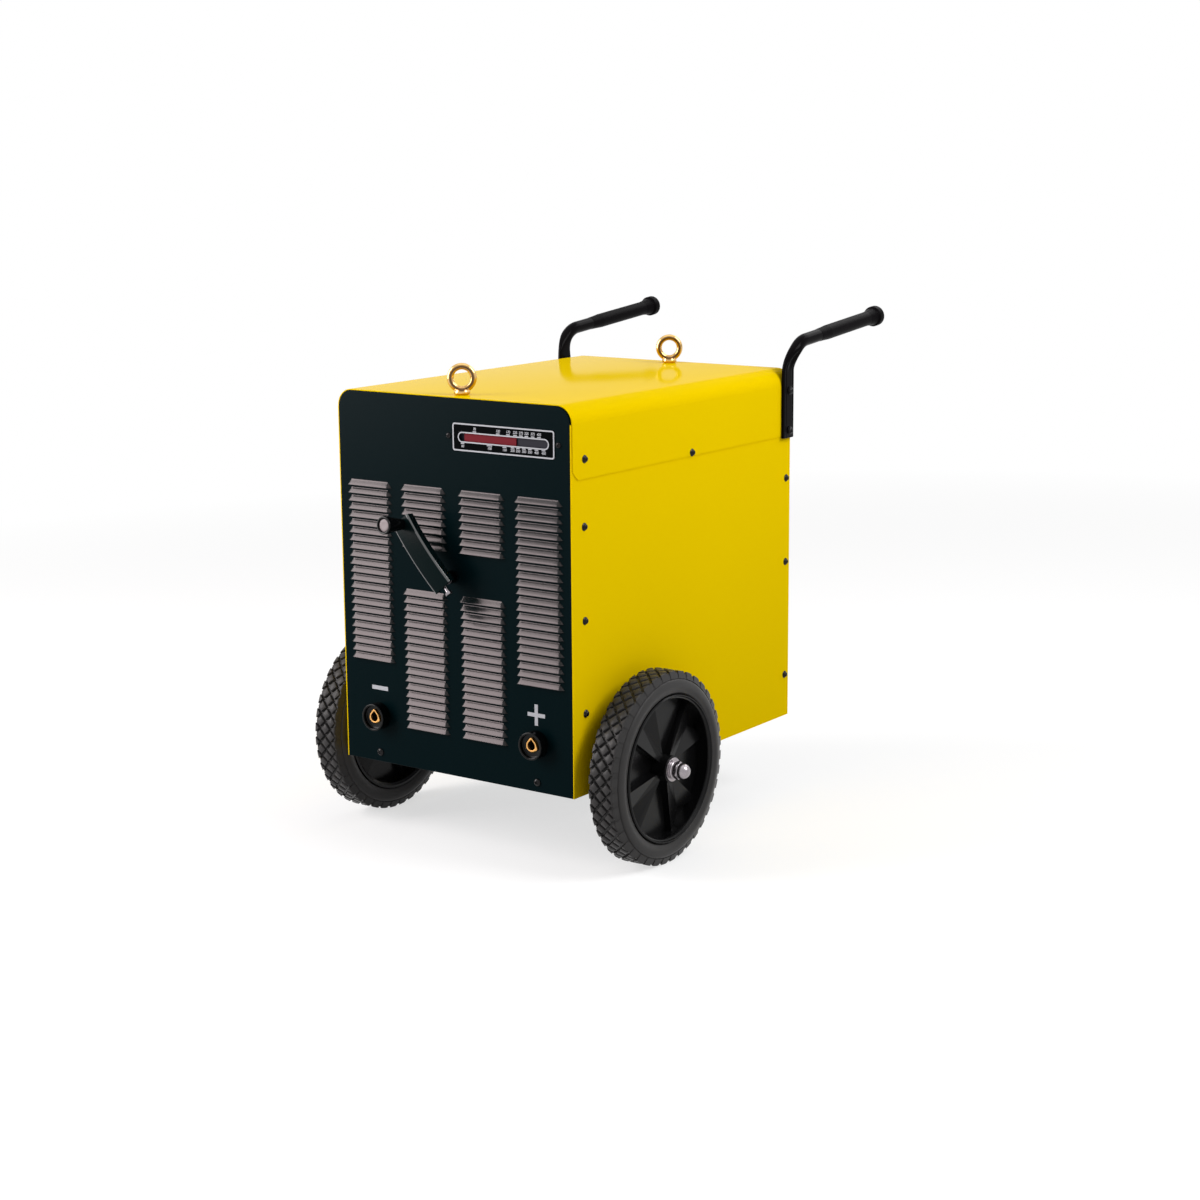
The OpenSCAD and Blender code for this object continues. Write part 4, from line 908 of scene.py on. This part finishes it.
def crossHead(grid, at, axis, r, high, spin):      # a pan head with a cross recess
    ahead = Vector(axis).normalized()
    across = ahead.orthogonal().normalized()
    third = ahead.cross(across)
    arm, reach, depth = screws["cross"]
    arm, reach, steps = arm * r, reach * r, 48
    turns = [2 * math.pi * i / steps for i in range(steps)]

    def vertex(height, x, y):
        return grid.verts.new(Vector(at) + ahead * height + across * x + third * y)

    def topAt(level, u):
        height = high * math.sqrt(max(0.0, 1 - (level * 0.98) ** 2.6))
        x, y = r * level * math.cos(u - spin), r * level * math.sin(u - spin)
        p, q = abs(x), abs(y)
        if min(p, q) < arm and max(p, q) < reach:
            height -= high * depth * (1 - max(p, q) / reach * 0.6)
        return vertex(height, r * level * math.cos(u), r * level * math.sin(u))
    rows = [[topAt(level, u) for u in (turns if level else turns[:1])]
            for level in screws["levels"]]
    rows.append([vertex(-0.4, r * math.cos(u), r * math.sin(u)) for u in turns])
    for a, b in zip(rows, rows[1:]):
        bridge(grid, a, b)
    grid.faces.new(rows[-1])


def makeScrews():
    def heads(grid):
        turn = 0.3      # each recess stands a little further round than the last
        for s in (-1, 1):
            for x, group in (screws["cover"], screws["side"]):
                for y, z in group:
                    turned(grid, rounded(screws["washer"], 0.4), 40, (s * x, y, z), (s, 0, 0))
                    crossHead(grid, (s * (x + screws["seat"]), y, z), (s, 0, 0),
                              *screws["sideHead"], turn)
                    turn += 0.7
            x, z = screws["foot"]
            crossHead(grid, (s * x, 0, z), (0, -1, 0), *screws["footHead"], turn)
            crossHead(grid, (s * x, casing["deep"], z), (0, 1, 0), *screws["frontHead"], turn + 0.4)
        for x, z in screws["scale"]:
            crossHead(grid, (x, 0, z), (0, -1, 0), *screws["frontHead"], turn)
            turn += 0.9

    def bolts(grid):
        turn = 0.5
        x, y = screws["boltX"], screws["boltY"]
        for s in (-1, 1):
            for z in screws["boltZ"]:
                turned(grid, rounded(screws["boltWasher"], 0.3), 40, (s * x, y, z), (s, 0, 0))
                crossHead(grid, (s * (x + 1), y, z), (s, 0, 0), *screws["boltHead"], turn)
                turn += 0.8
    addPiece("screw_heads", meshOf("screwHeads", heads), "casing", "black_screw", ("panel_screws",), 50)
    addPiece("handle_bolt_heads", meshOf("boltHeads", bolts), "casing", "zinc", ("handle_bolts",), 50,
             "black_screw")


wheel = {
    "y": 148, "z": 24, "middle": 271.5, "half": 28, "radius": 150, "groove": 4.6, "rim": 121,
    "diamonds": 40, "row": 11.2, "gap": 4.3,
    "blockFoot": 138.9, "footOut": 24.3, "topOut": 20.9, "blockTip": 12.9, "blockHalf": 7.3,
}


def onWheel(side, x, r, turn):      # across the tread from its middle, radius, degrees round
    a = math.radians(turn)
    return (side * (wheel["middle"] + x), wheel["y"] + r * math.sin(a), wheel["z"] - r * math.cos(a))


def treadBlock(grid, side, outline, turn, pitch):      # outline across and round the tread
    big = wheel["radius"]
    foot = big - wheel["groove"] - 1.2
    cx = sum(x for x, _ in outline) / len(outline)
    ct = sum(t for _, t in outline) / len(outline)
    rings = []
    for r, inset in ((foot, -0.9), (big - 1.2, 0.0), (big - 0.4, 0.45), (big - 0.02, 1.3)):
        ring = []
        for x, t in outline:
            k = 1 - inset / math.hypot(x - cx, t - ct)
            ring.append(onWheel(side, cx + (x - cx) * k, r, turn + (ct + (t - ct) * k) * pitch))
        rings.append(ring)
    skin(grid, rings)


def diamond(x, a, b):
    return [(x - a, 0), (x - a * 0.5, -b * 0.5), (x, -b), (x + a * 0.5, -b * 0.5), (x + a, 0),
            (x + a * 0.5, b * 0.5), (x, b), (x - a * 0.5, b * 0.5)]


def shoulderBlock(grid, side, s, turn, pitch):      # half a diamond, run down the tyre's shoulder
    big, half, tip, out = wheel["radius"], wheel["blockHalf"], wheel["blockTip"], wheel["topOut"]
    rings = []
    for r, far, inset in ((wheel["blockFoot"], wheel["footOut"], 0.0), (big - 1.3, out, 0.0),
                          (big - 0.5, out - 0.3, 0.4), (big - 0.02, out - 1.0, 1.1)):
        w, t = half - inset * 0.8, tip + inset
        middle = (far + t) / 2
        outline = [(far, -w), (far, 0), (far, w), (middle, w / 2), (t, 0), (middle, -w / 2)]
        rings.append([onWheel(side, s * x, r, turn + c * pitch) for x, c in outline])
    skin(grid, rings)


def makeTyre(side, name):
    h, big, rim = wheel["half"], wheel["radius"], wheel["rim"]
    floor = big - wheel["groove"]
    steps = 144
    wall = [(rim - 6, h - 5), (rim - 4.2, h - 2.2), (rim - 2.4, h - 1.2), (rim + 1, h - 0.9),
            (rim + 2.2, h - 0.1), (rim + 7, h), (rim + 12, h - 0.8), (136.2, h - 2.2),
            (137.2, h - 3.1), (137.7, h - 4.8), (138.5, h - 4.9), (139.0, h - 4.3), (147.2, 20.2),
            (147.5, 19.2), (147.5, 17.2), (floor, 15.6)]
    profile = [(r, -x) for r, x in wall] + [(floor, 0)] + wall[::-1]

    count = wheel["diamonds"]
    row, around = wheel["row"], math.pi * big / count      # half a diamond's cell across and round
    slant = math.hypot(row, around) / 2
    a, b = row - wheel["gap"] * slant / around, around - wheel["gap"] * slant / row
    pitch = 360 / (2 * math.pi * big)      # degrees for one millimetre of tread

    def rubber(grid):
        rings = [[onWheel(side, x, r, 360 * i / steps) for r, x in profile] for i in range(steps)]
        skin(grid, rings, closed=True)
        for i in range(count):
            for x, part in ((-row, 0), (row, 0), (0, 0.5)):
                treadBlock(grid, side, diamond(x, a, b), (i + part) * 360 / count, pitch)
            for s in (-1, 1):
                shoulderBlock(grid, side, s, (i + 0.5) * 360 / count, pitch)
    addPiece("tyre_" + name + "_shown", meshOf("tyre", rubber), "wheel_" + name, "tyre_rubber",
             ("tyre_" + name,), 35)


nut = {
    "start": 304.3, "tip": 330.9, "dome": 12.2, "seat": 10, "flat": 0.3,
    "washer": ((10.1, 0), (14.2, 0), (14.2, 1.4), (12.9, 2.2), (12.9, 3.4), (10.1, 3.4)),
    "hex": ((3.2, 12.8), (4.2, 14.3), (9.4, 14.3), (10.4, 12.8)),      # height and radius
    "spacer": ((14, 223.8), (14, 245.2), (10.1, 245.2), (10.1, 223.8), (14, 223.8)),
}


def makeAxleNuts():
    start, tip, dome = nut["start"], nut["tip"], nut["dome"]
    seat = start + nut["seat"]
    arc = [(dome * math.cos(a), tip - dome + dome * math.sin(a))
           for a in (math.radians(degrees) for degrees in range(0, 90, 6))]
    cap = [(8, seat), (dome + 0.5, seat), (dome + 0.5, seat + 1), (dome, seat + 1.6), *arc, (0, tip)]

    def hexagon(side, h, r):
        angles = [math.pi * i / 3 + nut["flat"] for i in range(6)]
        return [(side * (start + h), wheel["y"] + r * math.cos(a), wheel["z"] + r * math.sin(a))
                for a in angles]

    def nuts(grid):
        for s in (-1, 1):
            at, out = (0, wheel["y"], wheel["z"]), (s, 0, 0)
            washer = [(r, start + h) for r, h in nut["washer"]]
            turned(grid, rounded(washer, 0.5), 48, at, out)
            skin(grid, [hexagon(s, h, r) for h, r in nut["hex"]])
            turned(grid, cap, 48, at, out)
            turned(grid, nut["spacer"], 48, at, out)
    piece = addPiece("axle_nuts_shown", meshOf("axleNuts", nuts), "casing", "zinc", ("axle_nuts",), 30)
    roundEdges(piece, 0.35)


print("front panel")
makeFrontPanel()
makeScale()
makeSigns()
makeSocket(-1, "minus")
makeSocket(1, "plus")
print("crank")
makeCrank()
print("handles and lifting eyes")
makeHandle(-1, "left")
makeHandle(1, "right")
makeEyes()
makeScrews()
print("wheels")
makeTyre(-1, "left")
makeTyre(1, "right")
makeAxleNuts()
print("softened pieces")
edges = {
    "top_cover": 0.4, "rim_right": 0.8, "rim_left": 0.8, "side_panel_left": 0.3,
    "side_panel_right": 0.3, "wheel_bearing_left": 0.4, "wheel_bearing_right": 0.4,
}
for node, width in edges.items():
    softened(node, width)


bpy.context.view_layer.update()
